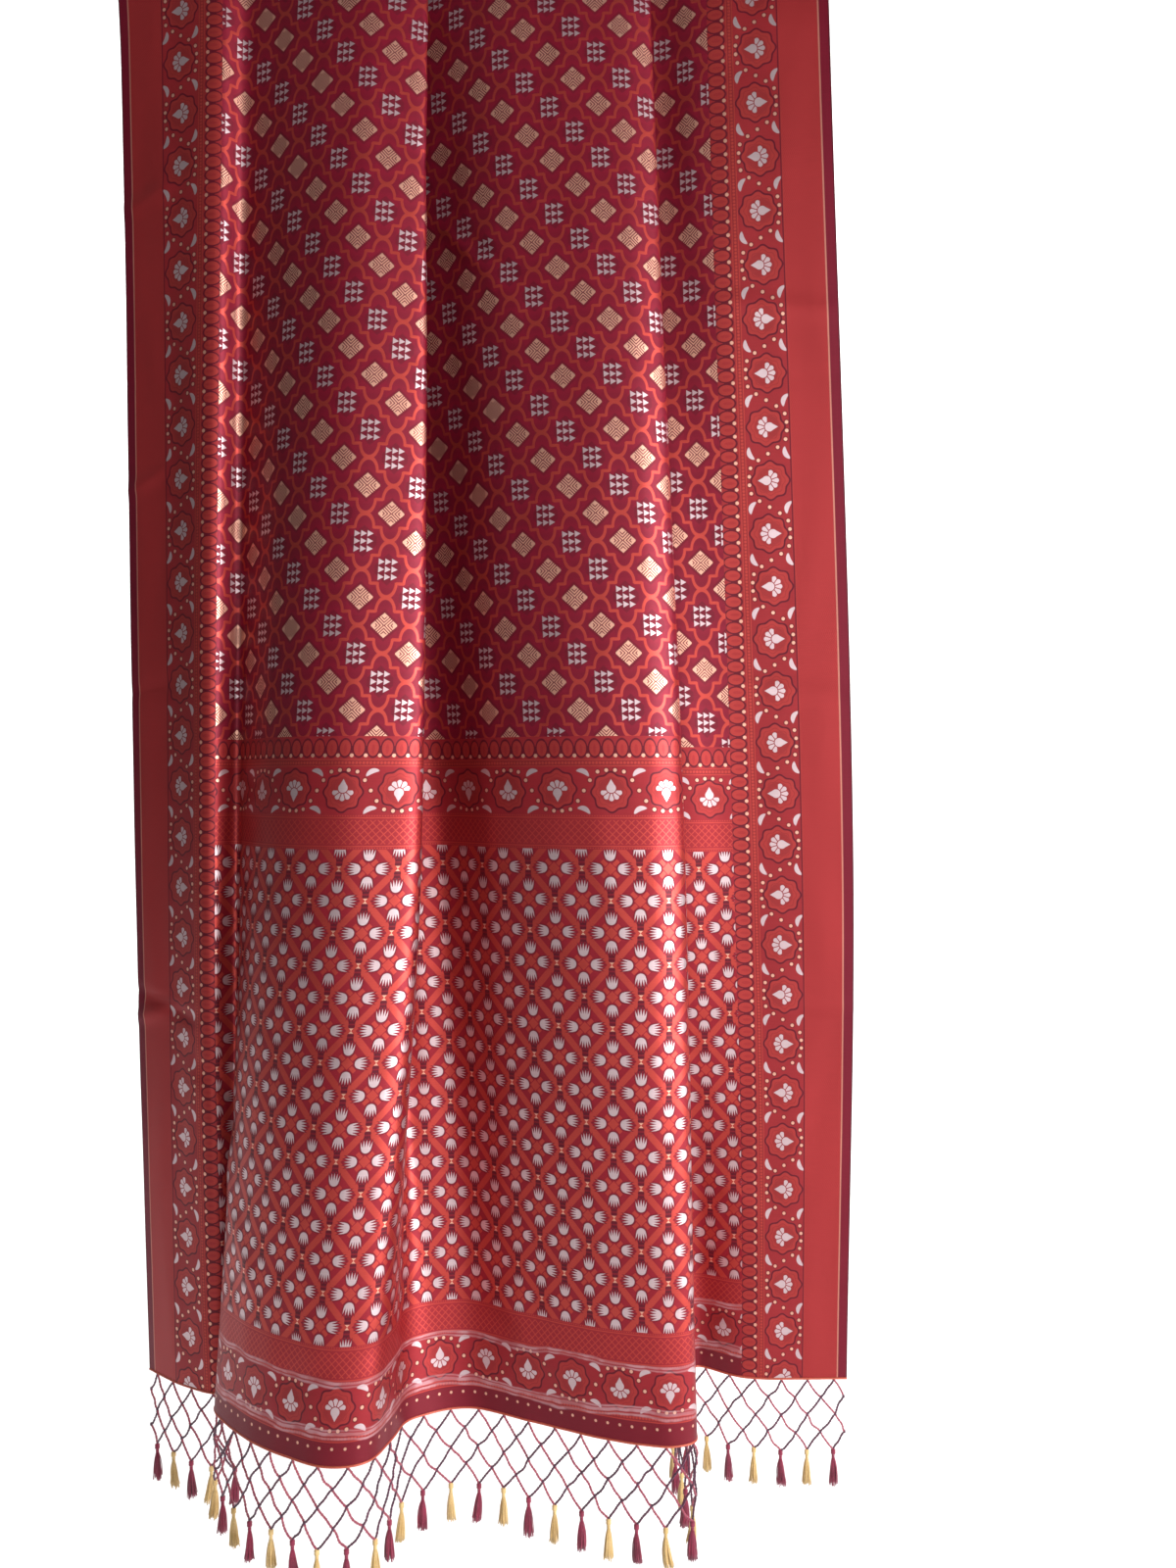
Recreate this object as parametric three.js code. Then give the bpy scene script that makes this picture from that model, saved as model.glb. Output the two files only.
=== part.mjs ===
// A brocade saree hung over a rod, its end piece (pallu) with a knotted net fringe at the front.
// Millimetres, +Z up, front towards -Y. The origin is on the rod's axis, at the middle of the rod.
import * as THREE from "three";

// Cut sizes of the cloth
const CLOTH_LENGTH = 5500;
const PALLU_LENGTH = 652;
const WALL = 1.2;
const SEAM_GAP = 0.3;

// Rod
const ROD_RADIUS = 16;
const ROD_LENGTH = 960;
const ROD_CHAMFER = 4;
const ROD_SIDES = 16;

// Hang, as drops below the rod's axis
const FRONT_DROP = 1627;
const BACK_DROP = 1300;
const SIDE_SAG = 12;
const PALLU_TOP = FRONT_DROP - PALLU_LENGTH;

// The spare length, folded once and laid over the rod under the outer layer
const SPARE_THICK = 5;
const SPARE_SINGLE = 2;
const SPARE_FRONT_DROP = 150;
const SPARE_RADIUS = ROD_RADIUS + SEAM_GAP + SPARE_THICK / 2;
const SPARE_LEFT = -352;
const SPARE_RIGHT = 300;
const SPARE_GROOVE = 6;

// Radius of the three layers of a pleat where they turn over the rod
const LAYER_GAP = 3.5;
const UNDER = SPARE_RADIUS + SPARE_THICK / 2 + SEAM_GAP + WALL / 2;
const MIDDLE = UNDER + LAYER_GAP;
const OUTER = MIDDLE + LAYER_GAP;

// Heights at which each fold line is given: drop below the rod
const FRONT_STATIONS = [0, 303, 1086, FRONT_DROP];
const STATION_NAMES = ["rod", "top", "mid", "hem"];

// Fold lines from the left selvage to the right one, each as [x, distance in front of the rod's axis].
// "back" is the same line at the lower edge of the back fall, measured behind the axis.
// "steps" is how many columns of the wall lie between this line and the next.
const FOLD_LINES = [
  { name: "left_edge", steps: 2, rod: [-384, UNDER], top: [-369, 26], mid: [-372, -18], hem: [-361, -30], back: [-350, 34] },
  { name: "left_border", steps: 2, rod: [-330, UNDER], top: [-315, 44], mid: [-326, 9], hem: [-320, 0], back: [-303, 50] },
  { name: "border_edge", steps: 2, rod: [-272, UNDER], top: [-260, 58], mid: [-275, 42], hem: [-278, 20], back: [-256, 58] },
  { name: "valley_0", steps: 2, rod: [-240, UNDER], top: [-240, 44], mid: [-254, 24], hem: [-258, 14], back: [-228, 37] },
  { name: "bulge_0", steps: 2, rod: [-214, UNDER + 1.5], top: [-218, 52], mid: [-240, 44], hem: [-269, 45], back: [-206, 48] },
  { name: "bulge_1", steps: 2, rod: [-174, OUTER], top: [-178, 70], mid: [-206, 86], hem: [-230, 95], back: [-174, 64] },
  { name: "rise_1", steps: 3, rod: [-118, OUTER], top: [-136, 82], mid: [-160, 116], hem: [-182, 129], back: [-120, 76] },
  { name: "crest_1", steps: 1, rod: [-62, OUTER], top: [-100, 84], mid: [-112, 124], hem: [-136, 148], back: [-66, 78] },
  { name: "crest_1_turn", steps: 2, rod: [-62, MIDDLE], top: [-58, 70], mid: [-61, 108], hem: [-104, 140], back: [-63, 70] },
  { name: "return_1", steps: 2, rod: [-112, MIDDLE], top: [-112, 56], mid: [-70, 76], hem: [-88, 108], back: [-98, 60] },
  { name: "inner_1", steps: 1, rod: [-163, MIDDLE], top: [-160, 52], mid: [-98, 56], hem: [-78, 72], back: [-138, 52] },
  { name: "inner_1_turn", steps: 2, rod: [-163, UNDER], top: [-160, 45], mid: [-103, 42], hem: [-60, 58], back: [-138, 42] },
  { name: "under_1", steps: 2, rod: [-112, UNDER], top: [-118, 40], mid: [-80, 40], hem: [-36, 48], back: [-98, 36] },
  { name: "start_2", steps: 2, rod: [-58, UNDER], top: [-78, 36], mid: [-46, 38], hem: [-12, 48], back: [-45, 36] },
  { name: "mid_2", steps: 2, rod: [6, UNDER], top: [6, 70], mid: [12, 84], hem: [40, 71], back: [20, 48] },
  { name: "rise_2", steps: 2, rod: [50, OUTER], top: [52, 78], mid: [64, 109], hem: [92, 94], back: [66, 66] },
  { name: "swell_2", steps: 2, rod: [104, OUTER], top: [104, 83], mid: [120, 124], hem: [146, 112], back: [118, 82] },
  { name: "crest_2", steps: 1, rod: [152, OUTER], top: [138, 81], mid: [159, 123], hem: [174, 116], back: [168, 86] },
  { name: "crest_2_turn", steps: 2, rod: [152, MIDDLE], top: [156, 71], mid: [185, 107], hem: [195, 106], back: [172, 77] },
  { name: "return_2", steps: 2, rod: [108, MIDDLE], top: [112, 56], mid: [150, 70], hem: [190, 50], back: [128, 62] },
  { name: "inner_2", steps: 1, rod: [66, MIDDLE], top: [70, 53], mid: [106, 34], hem: [184, -25], back: [90, 50] },
  { name: "inner_2_turn", steps: 2, rod: [66, UNDER], top: [70, 46], mid: [108, 24], hem: [191, -40], back: [92, 40] },
  { name: "under_2", steps: 2, rod: [112, UNDER], top: [112, 44], mid: [150, 17], hem: [204, -49], back: [132, 36] },
  { name: "start_3", steps: 2, rod: [160, UNDER], top: [160, 46], mid: [195, 18], hem: [213, -60], back: [180, 38] },
  { name: "border_3", steps: 3, rod: [214, UNDER], top: [211, 66], mid: [245, 14], hem: [262, -36], back: [232, 58] },
  { name: "right_edge", steps: 0, rod: [328, UNDER], top: [325, 80], mid: [360, 24], hem: [366, -34], back: [338, 44] },
];
// The cloth right of crest 2 hangs lower: the sag grows between these two lines
const SAG_FROM = "crest_2_turn";
const SAG_FULL = "start_3";

// Fringe
const TASSELS = 39;
const NET_ROWS = 4;
const NET_ROW_DROP = 18;
const STRIP_GAP = 0.6;
const STRIP_HEIGHT = 2;
const KNOT_HALF_WIDTH = 2;
const KNOT_HALF_HEIGHT = 2.4;
const STRAND_HALF_DEPTH = 0.8;
const TASSEL_LENGTH = 37;
const TASSEL_HALF_WIDTH = 3.6;
const END_INSET = 3;

// Colours, from the photograph
const BODY_RED = new THREE.MeshStandardMaterial({ color: 0x8c1f2e, roughness: 0.45, metalness: 0.2 });
const PALLU_RED = new THREE.MeshStandardMaterial({ color: 0xa8433c, roughness: 0.42, metalness: 0.25 });
const FRINGE_MAROON = new THREE.MeshStandardMaterial({ color: 0x5a1630, roughness: 0.7, metalness: 0 });
const ROD_WOOD = new THREE.MeshStandardMaterial({ color: 0x9a7650, roughness: 0.55, metalness: 0 });

// A smooth curve through one value at each station, level where it leaves the rod
function throughStations(values, drop) {
  const last = FRONT_STATIONS.length - 1;
  const slope = (i) => {
    if (i === 0) return 0;
    if (i === last) return (values[last] - values[last - 1]) / (FRONT_STATIONS[last] - FRONT_STATIONS[last - 1]);
    return (values[i + 1] - values[i - 1]) / (FRONT_STATIONS[i + 1] - FRONT_STATIONS[i - 1]);
  };
  let i = 0;
  while (i < last - 1 && drop > FRONT_STATIONS[i + 1]) i += 1;
  const span = FRONT_STATIONS[i + 1] - FRONT_STATIONS[i];
  const t = (drop - FRONT_STATIONS[i]) / span;
  const t2 = t * t;
  const t3 = t2 * t;
  return (
    (2 * t3 - 3 * t2 + 1) * values[i] +
    (t3 - 2 * t2 + t) * span * slope(i) +
    (3 * t2 - 2 * t3) * values[i + 1] +
    (t3 - t2) * span * slope(i + 1)
  );
}

// The fold lines' places at one level, as points of x, distance from the rod's axis, and extra sag
const lineIndex = (name) => FOLD_LINES.findIndex((line) => line.name === name);
const sagShare = (i) => THREE.MathUtils.smoothstep(i, lineIndex(SAG_FROM), lineIndex(SAG_FULL));
function foldPoints(level) {
  return FOLD_LINES.map((line, i) => {
    if (level.side === "front") {
      const stations = STATION_NAMES.map((name) => line[name]);
      const x = throughStations(stations.map((p) => p[0]), level.drop);
      const out = throughStations(stations.map((p) => p[1]), level.drop);
      const sag = (sagShare(i) * SIDE_SAG * level.drop) / FRONT_DROP;
      return new THREE.Vector3(x, out, sag);
    }
    const t = level.side === "back" ? level.drop / BACK_DROP : 0;
    const ease = t * t * (2 - t);
    const x = THREE.MathUtils.lerp(line.rod[0], line.back[0], ease);
    const out = THREE.MathUtils.lerp(line.rod[1], line.back[1], ease);
    return new THREE.Vector3(x, out, 0);
  });
}

// A point of the section placed in space: down the front, round the rod or down the back
function placed(level, p) {
  if (level.side === "front") return new THREE.Vector3(p.x, -p.y, -level.drop - p.z);
  if (level.side === "back") return new THREE.Vector3(p.x, p.y, -level.drop);
  return new THREE.Vector3(p.x, -p.y * Math.cos(level.turn), p.y * Math.sin(level.turn));
}

const sectionCurve = (level) => new THREE.CatmullRomCurve3(foldPoints(level), false, "centripetal");

// A smooth curve swings past its points a little, so the outer layer is kept clear of the spare length under it
const overSpare = (level) => level.side !== "front" || level.drop <= SPARE_FRONT_DROP + SPARE_GROOVE;
function clothPoint(level, p) {
  return placed(level, overSpare(level) ? p.setY(Math.max(p.y, UNDER)) : p);
}

// The curve parameter of every column of the wall, closer together at the folds
const COLUMNS = FOLD_LINES.flatMap((line, i) =>
  Array.from({ length: line.steps || 1 }, (_, j) => (i + (line.steps ? j / line.steps : 0)) / (FOLD_LINES.length - 1)),
);

// Middle and outward direction of the cloth at each column of a level
function sectionOf(level) {
  const curve = sectionCurve(level);
  const nudge = 2e-4;
  return COLUMNS.map((t) => {
    const before = clothPoint(level, curve.getPoint(Math.max(0, t - nudge)));
    const after = clothPoint(level, curve.getPoint(Math.min(1, t + nudge)));
    const along = after.sub(before).normalize();
    const down = new THREE.Vector3(0, 0, -1);
    if (level.side === "over") down.set(0, Math.sin(level.turn), Math.cos(level.turn)).negate();
    if (level.side === "back") down.set(0, 0, 1);
    if (level.drop === FRONT_DROP) along.setZ(0);
    return { at: clothPoint(level, curve.getPoint(t)), out: down.cross(along).normalize() };
  });
}

function meshOf(name, points, faces, material) {
  const geometry = new THREE.BufferGeometry();
  geometry.setAttribute("position", new THREE.Float32BufferAttribute(points.flatMap((p) => [p.x, p.y, p.z]), 3));
  geometry.setIndex(faces);
  geometry.computeVertexNormals();
  const mesh = new THREE.Mesh(geometry, material);
  mesh.name = name;
  return mesh;
}

// A closed wall of cloth through a list of levels, in the order from the back fall over the rod to the front hem
function clothWall(name, levels, material) {
  const rows = levels.map(sectionOf);
  const columns = COLUMNS.length;
  const points = [];
  for (const side of [1, -1])
    for (const row of rows)
      for (const { at, out } of row) points.push(at.clone().addScaledVector(out, (side * WALL) / 2));
  const outer = (r, c) => r * columns + c;
  const inner = (r, c) => (rows.length + r) * columns + c;
  const faces = [];
  const quad = (a, b, c, d) => faces.push(a, b, c, a, c, d);
  for (let r = 0; r < rows.length - 1; r += 1)
    for (let c = 0; c < columns - 1; c += 1) {
      quad(outer(r, c), outer(r + 1, c), outer(r + 1, c + 1), outer(r, c + 1));
      quad(inner(r, c), inner(r, c + 1), inner(r + 1, c + 1), inner(r + 1, c));
    }
  const bottom = rows.length - 1;
  const right = columns - 1;
  for (let c = 0; c < right; c += 1) {
    quad(outer(0, c), outer(0, c + 1), inner(0, c + 1), inner(0, c));
    quad(outer(bottom, c), inner(bottom, c), inner(bottom, c + 1), outer(bottom, c + 1));
  }
  for (let r = 0; r < bottom; r += 1) {
    quad(outer(r, 0), inner(r, 0), inner(r + 1, 0), outer(r + 1, 0));
    quad(outer(r, right), outer(r + 1, right), inner(r + 1, right), inner(r, right));
  }
  return meshOf(name, points, faces, material);
}

// Even levels from one drop to another
function dropLevels(side, from, to, bands) {
  return Array.from({ length: bands + 1 }, (_, i) => ({ side, drop: from + ((to - from) * i) / bands }));
}

const TURN_BANDS = ROD_SIDES / 2;
function turnLevels() {
  return Array.from({ length: TURN_BANDS + 1 }, (_, i) => ({ side: "over", turn: Math.PI * (1 - i / TURN_BANDS) }));
}

// The folded spare length: one rounded solid with a groove between its two layers along the side edges
function spareLength() {
  const groove = (thick) => (thick > SPARE_SINGLE ? SPARE_GROOVE : 0.2);
  const faceColumns = 6;
  const ring = (thick) => {
    const half = thick / 2;
    const xs = Array.from({ length: faceColumns + 1 }, (_, i) =>
      THREE.MathUtils.lerp(SPARE_LEFT, SPARE_RIGHT, i / faceColumns),
    );
    const nearRod = xs.map((x) => [x, -half]);
    const away = xs.map((x) => [x, half]).reverse();
    return [
      ...nearRod,
      [SPARE_RIGHT, -half * 0.2],
      [SPARE_RIGHT - groove(thick), 0],
      [SPARE_RIGHT, half * 0.2],
      ...away,
      [SPARE_LEFT, half * 0.2],
      [SPARE_LEFT + groove(thick), 0],
      [SPARE_LEFT, -half * 0.2],
    ];
  };
  // Where the second layer ends on the back: what is left of the cloth's length after the rest is laid
  const outerLength = FRONT_DROP + Math.PI * UNDER + BACK_DROP;
  const overRod = Math.PI * SPARE_RADIUS;
  const firstLayer = BACK_DROP + overRod + SPARE_FRONT_DROP;
  const secondEnd = CLOTH_LENGTH - outerLength - firstLayer - SPARE_FRONT_DROP - overRod;
  const stages = [
    { side: "front", drop: SPARE_FRONT_DROP, thick: SPARE_THICK * 0.5 },
    { side: "front", drop: SPARE_FRONT_DROP - 4, thick: SPARE_THICK },
    { side: "front", drop: SPARE_FRONT_DROP / 2, thick: SPARE_THICK },
    ...Array.from({ length: TURN_BANDS + 1 }, (_, i) => ({
      side: "over",
      turn: (Math.PI * i) / TURN_BANDS,
      thick: SPARE_THICK,
    })),
    ...[0.25, 0.5, 0.75, 1].map((part) => ({ side: "back", drop: secondEnd * part, thick: SPARE_THICK })),
    { side: "back", drop: secondEnd + 1, thick: SPARE_SINGLE },
    { side: "back", drop: (secondEnd + BACK_DROP) / 2, thick: SPARE_SINGLE },
    { side: "back", drop: BACK_DROP - 8, thick: SPARE_SINGLE },
  ];
  const rings = stages.map((stage) =>
    ring(stage.thick).map(([x, n]) => placed(stage, new THREE.Vector3(x, SPARE_RADIUS + n, 0))),
  );
  const size = rings[0].length;
  const points = rings.flat();
  const faces = [];
  for (let r = 0; r < rings.length - 1; r += 1)
    for (let i = 0; i < size; i += 1) {
      const [a, b] = [r * size + i, r * size + ((i + 1) % size)];
      faces.push(a, b + size, b, a, a + size, b + size);
    }
  // End caps: strips between the face near the rod and the face away from it
  const faceEnd = faceColumns;
  const cap = (start, flip) => {
    const tri = (a, b, c) => faces.push(start + a, start + (flip ? c : b), start + (flip ? b : c));
    const opposite = (i) => 2 * faceEnd + 4 - i;
    for (let i = 1; i < faceEnd - 1; i += 1) {
      tri(i, opposite(i), opposite(i + 1));
      tri(i, opposite(i + 1), i + 1);
    }
    const [rightGroove, leftGroove] = [faceEnd + 2, size - 2];
    const [r1, r2] = [faceEnd - 1, opposite(faceEnd - 1)];
    tri(r1, rightGroove, faceEnd + 1);
    tri(r1, faceEnd + 1, faceEnd);
    tri(r1, r2, rightGroove);
    tri(r2, faceEnd + 3, rightGroove);
    tri(r2, faceEnd + 4, faceEnd + 3);
    const [l1, l2] = [1, opposite(1)];
    tri(l1, 0, size - 1);
    tri(l1, size - 1, leftGroove);
    tri(l1, leftGroove, l2);
    tri(l2, leftGroove, size - 3);
    tri(l2, size - 3, opposite(0));
  };
  cap(0, true);
  cap((rings.length - 1) * size, false);
  return meshOf("spare_length", points, faces, BODY_RED);
}

// The knotted net and its tassels, hung plumb below the hem
function fringe() {
  const hemLevel = { side: "front", drop: FRONT_DROP };
  const hem = sectionCurve(hemLevel);
  hem.arcLengthDivisions = 2000;
  const hemLength = hem.getLength();
  const pitch = hemLength / TASSELS;
  const points = [];
  const faces = [];
  const quad = (a, b, c, d) => faces.push(a, b, c, a, c, d);
  const stripTop = -STRIP_GAP;
  const stripFoot = stripTop - STRIP_HEIGHT;

  // A front and a back point beside the hem curve at a distance along it and a height below the hem
  const pair = (distance, height, depth = STRAND_HALF_DEPTH) => {
    const u = THREE.MathUtils.clamp(distance / hemLength, 0, 1);
    const p = placed(hemLevel, hem.getPointAt(u));
    const a = placed(hemLevel, hem.getPointAt(Math.max(0, u - 1e-3)));
    const b = placed(hemLevel, hem.getPointAt(Math.min(1, u + 1e-3)));
    const along = b.sub(a).setZ(0).normalize();
    const out = new THREE.Vector3(along.y, -along.x, 0);
    p.z += height;
    points.push(p.clone().addScaledVector(out, depth), p.clone().addScaledVector(out, -depth));
    return points.length - 2;
  };
  // A flat piece between two edges, front and back: edges run from left to right or top to bottom
  const front = (...corners) => {
    for (let i = 1; i < corners.length - 1; i += 1) {
      faces.push(corners[0], corners[i], corners[i + 1]);
      faces.push(corners[0] + 1, corners[i + 1] + 1, corners[i] + 1);
    }
  };
  // The side wall along an edge of the outline, walked with the piece on the left as seen from the front
  const wall = (a, b) => quad(a, a + 1, b + 1, b);

  // Knots of each row: row 0 is on the strip, the last row carries the tassels
  const rowOf = (row) => {
    const onRoots = row % 2 === 0;
    const count = onRoots ? TASSELS : TASSELS + 1;
    return Array.from({ length: count }, (_, k) => {
      const raw = (onRoots ? k + 0.5 : k) * pitch;
      const s = THREE.MathUtils.clamp(raw, END_INSET, hemLength - END_INSET);
      const z = stripFoot - row * NET_ROW_DROP;
      const knot = { left: pair(s - KNOT_HALF_WIDTH, z), right: pair(s + KNOT_HALF_WIDTH, z), s, z };
      if (row > 0) knot.top = pair(s, z + KNOT_HALF_HEIGHT);
      if (row < NET_ROWS) knot.foot = pair(s, z - KNOT_HALF_HEIGHT);
      return knot;
    });
  };
  const rows = Array.from({ length: NET_ROWS + 1 }, (_, row) => rowOf(row));

  // Strip between its top edge and the roots
  const stripColumns = [{ top: pair(0, stripTop), foot: pair(0, stripFoot) }];
  for (const root of rows[0]) {
    stripColumns.push({ top: pair(root.s - KNOT_HALF_WIDTH, stripTop), foot: root.left });
    stripColumns.push({ top: pair(root.s + KNOT_HALF_WIDTH, stripTop), foot: root.right, afterRoot: true });
    const next = root.s + pitch / 2;
    stripColumns.push({ top: pair(next, stripTop), foot: pair(next, stripFoot) });
  }
  stripColumns.slice(1).forEach((column, i) => {
    const previous = stripColumns[i];
    front(previous.top, previous.foot, column.foot, column.top);
    wall(column.top, previous.top);
    if (!column.afterRoot) wall(previous.foot, column.foot);
  });
  const lastColumn = stripColumns[stripColumns.length - 1];
  wall(stripColumns[0].top, stripColumns[0].foot);
  wall(lastColumn.foot, lastColumn.top);

  // Knots, and the two strands that leave each one for the row below
  rows.forEach((knots, row) => {
    const below = rows[row + 1];
    const shift = row % 2 === 0 ? 0 : -1;
    knots.forEach((knot, k) => {
      if (row === 0) front(knot.left, knot.foot, knot.right);
      else if (row < NET_ROWS) front(knot.top, knot.left, knot.foot, knot.right);
      else front(knot.top, knot.left, knot.right);
      const leftBelow = below?.[k + shift];
      const rightBelow = below?.[k + shift + 1];
      if (row < NET_ROWS) {
        if (leftBelow) {
          front(knot.left, leftBelow.top, leftBelow.right, knot.foot);
          wall(knot.left, leftBelow.top);
          wall(leftBelow.right, knot.foot);
        } else wall(knot.left, knot.foot);
        if (rightBelow) {
          front(knot.foot, rightBelow.left, rightBelow.top, knot.right);
          wall(knot.foot, rightBelow.left);
          wall(rightBelow.top, knot.right);
        } else wall(knot.foot, knot.right);
      }
      if (row > 0) {
        const aboveCount = rows[row - 1].length;
        const hasLeft = row % 2 === 0 || k > 0;
        const hasRight = row % 2 === 0 || k < aboveCount;
        if (!hasLeft) wall(knot.top, knot.left);
        if (!hasRight) wall(knot.right, knot.top);
      }
    });
  });

  // Tassels: a lock of four sides below each knot of the last row
  for (const head of rows[NET_ROWS]) {
    const ringAt = (drop, halfWidth, depth) => ({
      left: pair(head.s - halfWidth, head.z - drop, depth),
      right: pair(head.s + halfWidth, head.z - drop, depth),
    });
    const neck = ringAt(TASSEL_LENGTH * 0.2, KNOT_HALF_WIDTH * 0.8, 1.4);
    const skirt = ringAt(TASSEL_LENGTH, TASSEL_HALF_WIDTH, 2.6);
    const rings = [head, neck, skirt];
    rings.slice(1).forEach((ring, i) => {
      front(rings[i].left, ring.left, ring.right, rings[i].right);
      wall(rings[i].left, ring.left);
      wall(ring.right, rings[i].right);
    });
    wall(skirt.left, skirt.right);
  }
  return meshOf("fringe", points, faces, FRINGE_MAROON);
}

function rod() {
  const half = ROD_LENGTH / 2;
  const profile = [
    [0, -half],
    [ROD_RADIUS - ROD_CHAMFER, -half],
    [ROD_RADIUS, -half + ROD_CHAMFER],
    [ROD_RADIUS, half - ROD_CHAMFER],
    [ROD_RADIUS - ROD_CHAMFER, half],
    [0, half],
  ].map(([r, y]) => new THREE.Vector2(r, y));
  const mesh = new THREE.Mesh(new THREE.LatheGeometry(profile, ROD_SIDES), ROD_WOOD);
  mesh.name = "rod";
  mesh.rotation.z = -Math.PI / 2;
  return mesh;
}

const saree = new THREE.Group();
saree.add(rod());
saree.add(spareLength());
saree.add(clothWall("body_over_rod", turnLevels(), BODY_RED));
saree.add(clothWall("body_front", dropLevels("front", SEAM_GAP, PALLU_TOP - SEAM_GAP / 2, 11), BODY_RED));
saree.add(clothWall("pallu", dropLevels("front", PALLU_TOP + SEAM_GAP / 2, FRONT_DROP, 9), PALLU_RED));
saree.add(clothWall("body_back", dropLevels("back", BACK_DROP, SEAM_GAP, 8), BODY_RED));
saree.add(fringe());

export default saree;
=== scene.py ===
# %% [markdown]
# A saree is one long strip of silk with a woven border on both long edges and a richer end piece,
# the pallu, whose last threads are knotted into a net with tassels. Here it hangs over a plain rod.
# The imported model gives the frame, and every piece below is made in that frame, in metres.

# %% Load the frame
import math

import bpy
import numpy as np
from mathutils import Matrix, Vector


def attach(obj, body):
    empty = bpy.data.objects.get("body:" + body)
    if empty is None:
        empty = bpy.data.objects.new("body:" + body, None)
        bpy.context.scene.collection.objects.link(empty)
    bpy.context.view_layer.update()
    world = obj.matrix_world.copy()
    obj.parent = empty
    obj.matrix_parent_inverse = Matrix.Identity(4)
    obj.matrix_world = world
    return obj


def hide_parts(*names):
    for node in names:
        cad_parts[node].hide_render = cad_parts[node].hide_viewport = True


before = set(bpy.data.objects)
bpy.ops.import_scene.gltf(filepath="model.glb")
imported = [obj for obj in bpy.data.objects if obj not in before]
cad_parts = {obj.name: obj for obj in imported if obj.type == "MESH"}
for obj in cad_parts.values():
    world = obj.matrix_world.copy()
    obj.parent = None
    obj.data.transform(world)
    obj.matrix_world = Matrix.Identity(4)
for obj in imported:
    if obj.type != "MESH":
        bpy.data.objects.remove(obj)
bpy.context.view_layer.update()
rng = np.random.default_rng(7)
MM = 0.001
print("nodes:", sorted(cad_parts))

# %% [markdown]
# The camera stands level in front of the cloth, a little right of its middle, and sees only the
# lower part, as in a close-up. Making it first shows the size of a pixel on the cloth.

# %% Camera
IMAGE_HEIGHT_PX = 1600
PIXEL_ON_CLOTH = 0.955 * MM
CLOTH_PLANE_Y = -50 * MM
CAMERA_DISTANCE = 1155 * MM
SENSOR = 36.0

camera_data = bpy.data.cameras.new("camera")
camera_data.sensor_fit = "VERTICAL"
camera_data.sensor_height = SENSOR
camera_data.lens = SENSOR * CAMERA_DISTANCE / (IMAGE_HEIGHT_PX * PIXEL_ON_CLOTH)
camera = bpy.data.objects.new("camera", camera_data)
camera.location = (95.5 * MM, CLOTH_PLANE_Y - CAMERA_DISTANCE, -1019 * MM)
camera.rotation_euler = (math.radians(90), 0, 0)
bpy.context.scene.collection.objects.link(camera)
bpy.context.scene.camera = camera
print("lens", round(camera_data.lens, 2), "mm")

# %% [markdown]
# The cloth falls in folds. Each fold line runs from the rod to the hem and down the back, and its
# place is given at four heights, as on the solid: millimetres along the rod, and in front of it.

# %% Fold lines
CLOTH_WIDTH = 1150.0
PALLU_LENGTH = 652.0
FRONT_DROP = 1627.0
BACK_DROP = 1300.0
SIDE_SAG = 12.0
ROD_RADIUS = 16.0
SPARE_THICK = 5.0
SPARE_RADIUS = ROD_RADIUS + 0.3 + SPARE_THICK / 2
LAYER_GAP = 3.5
UNDER = SPARE_RADIUS + SPARE_THICK / 2 + 0.3 + 0.6
MIDDLE = UNDER + LAYER_GAP
OUTER = MIDDLE + LAYER_GAP
SPARE_FOOT = 156.0

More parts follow.
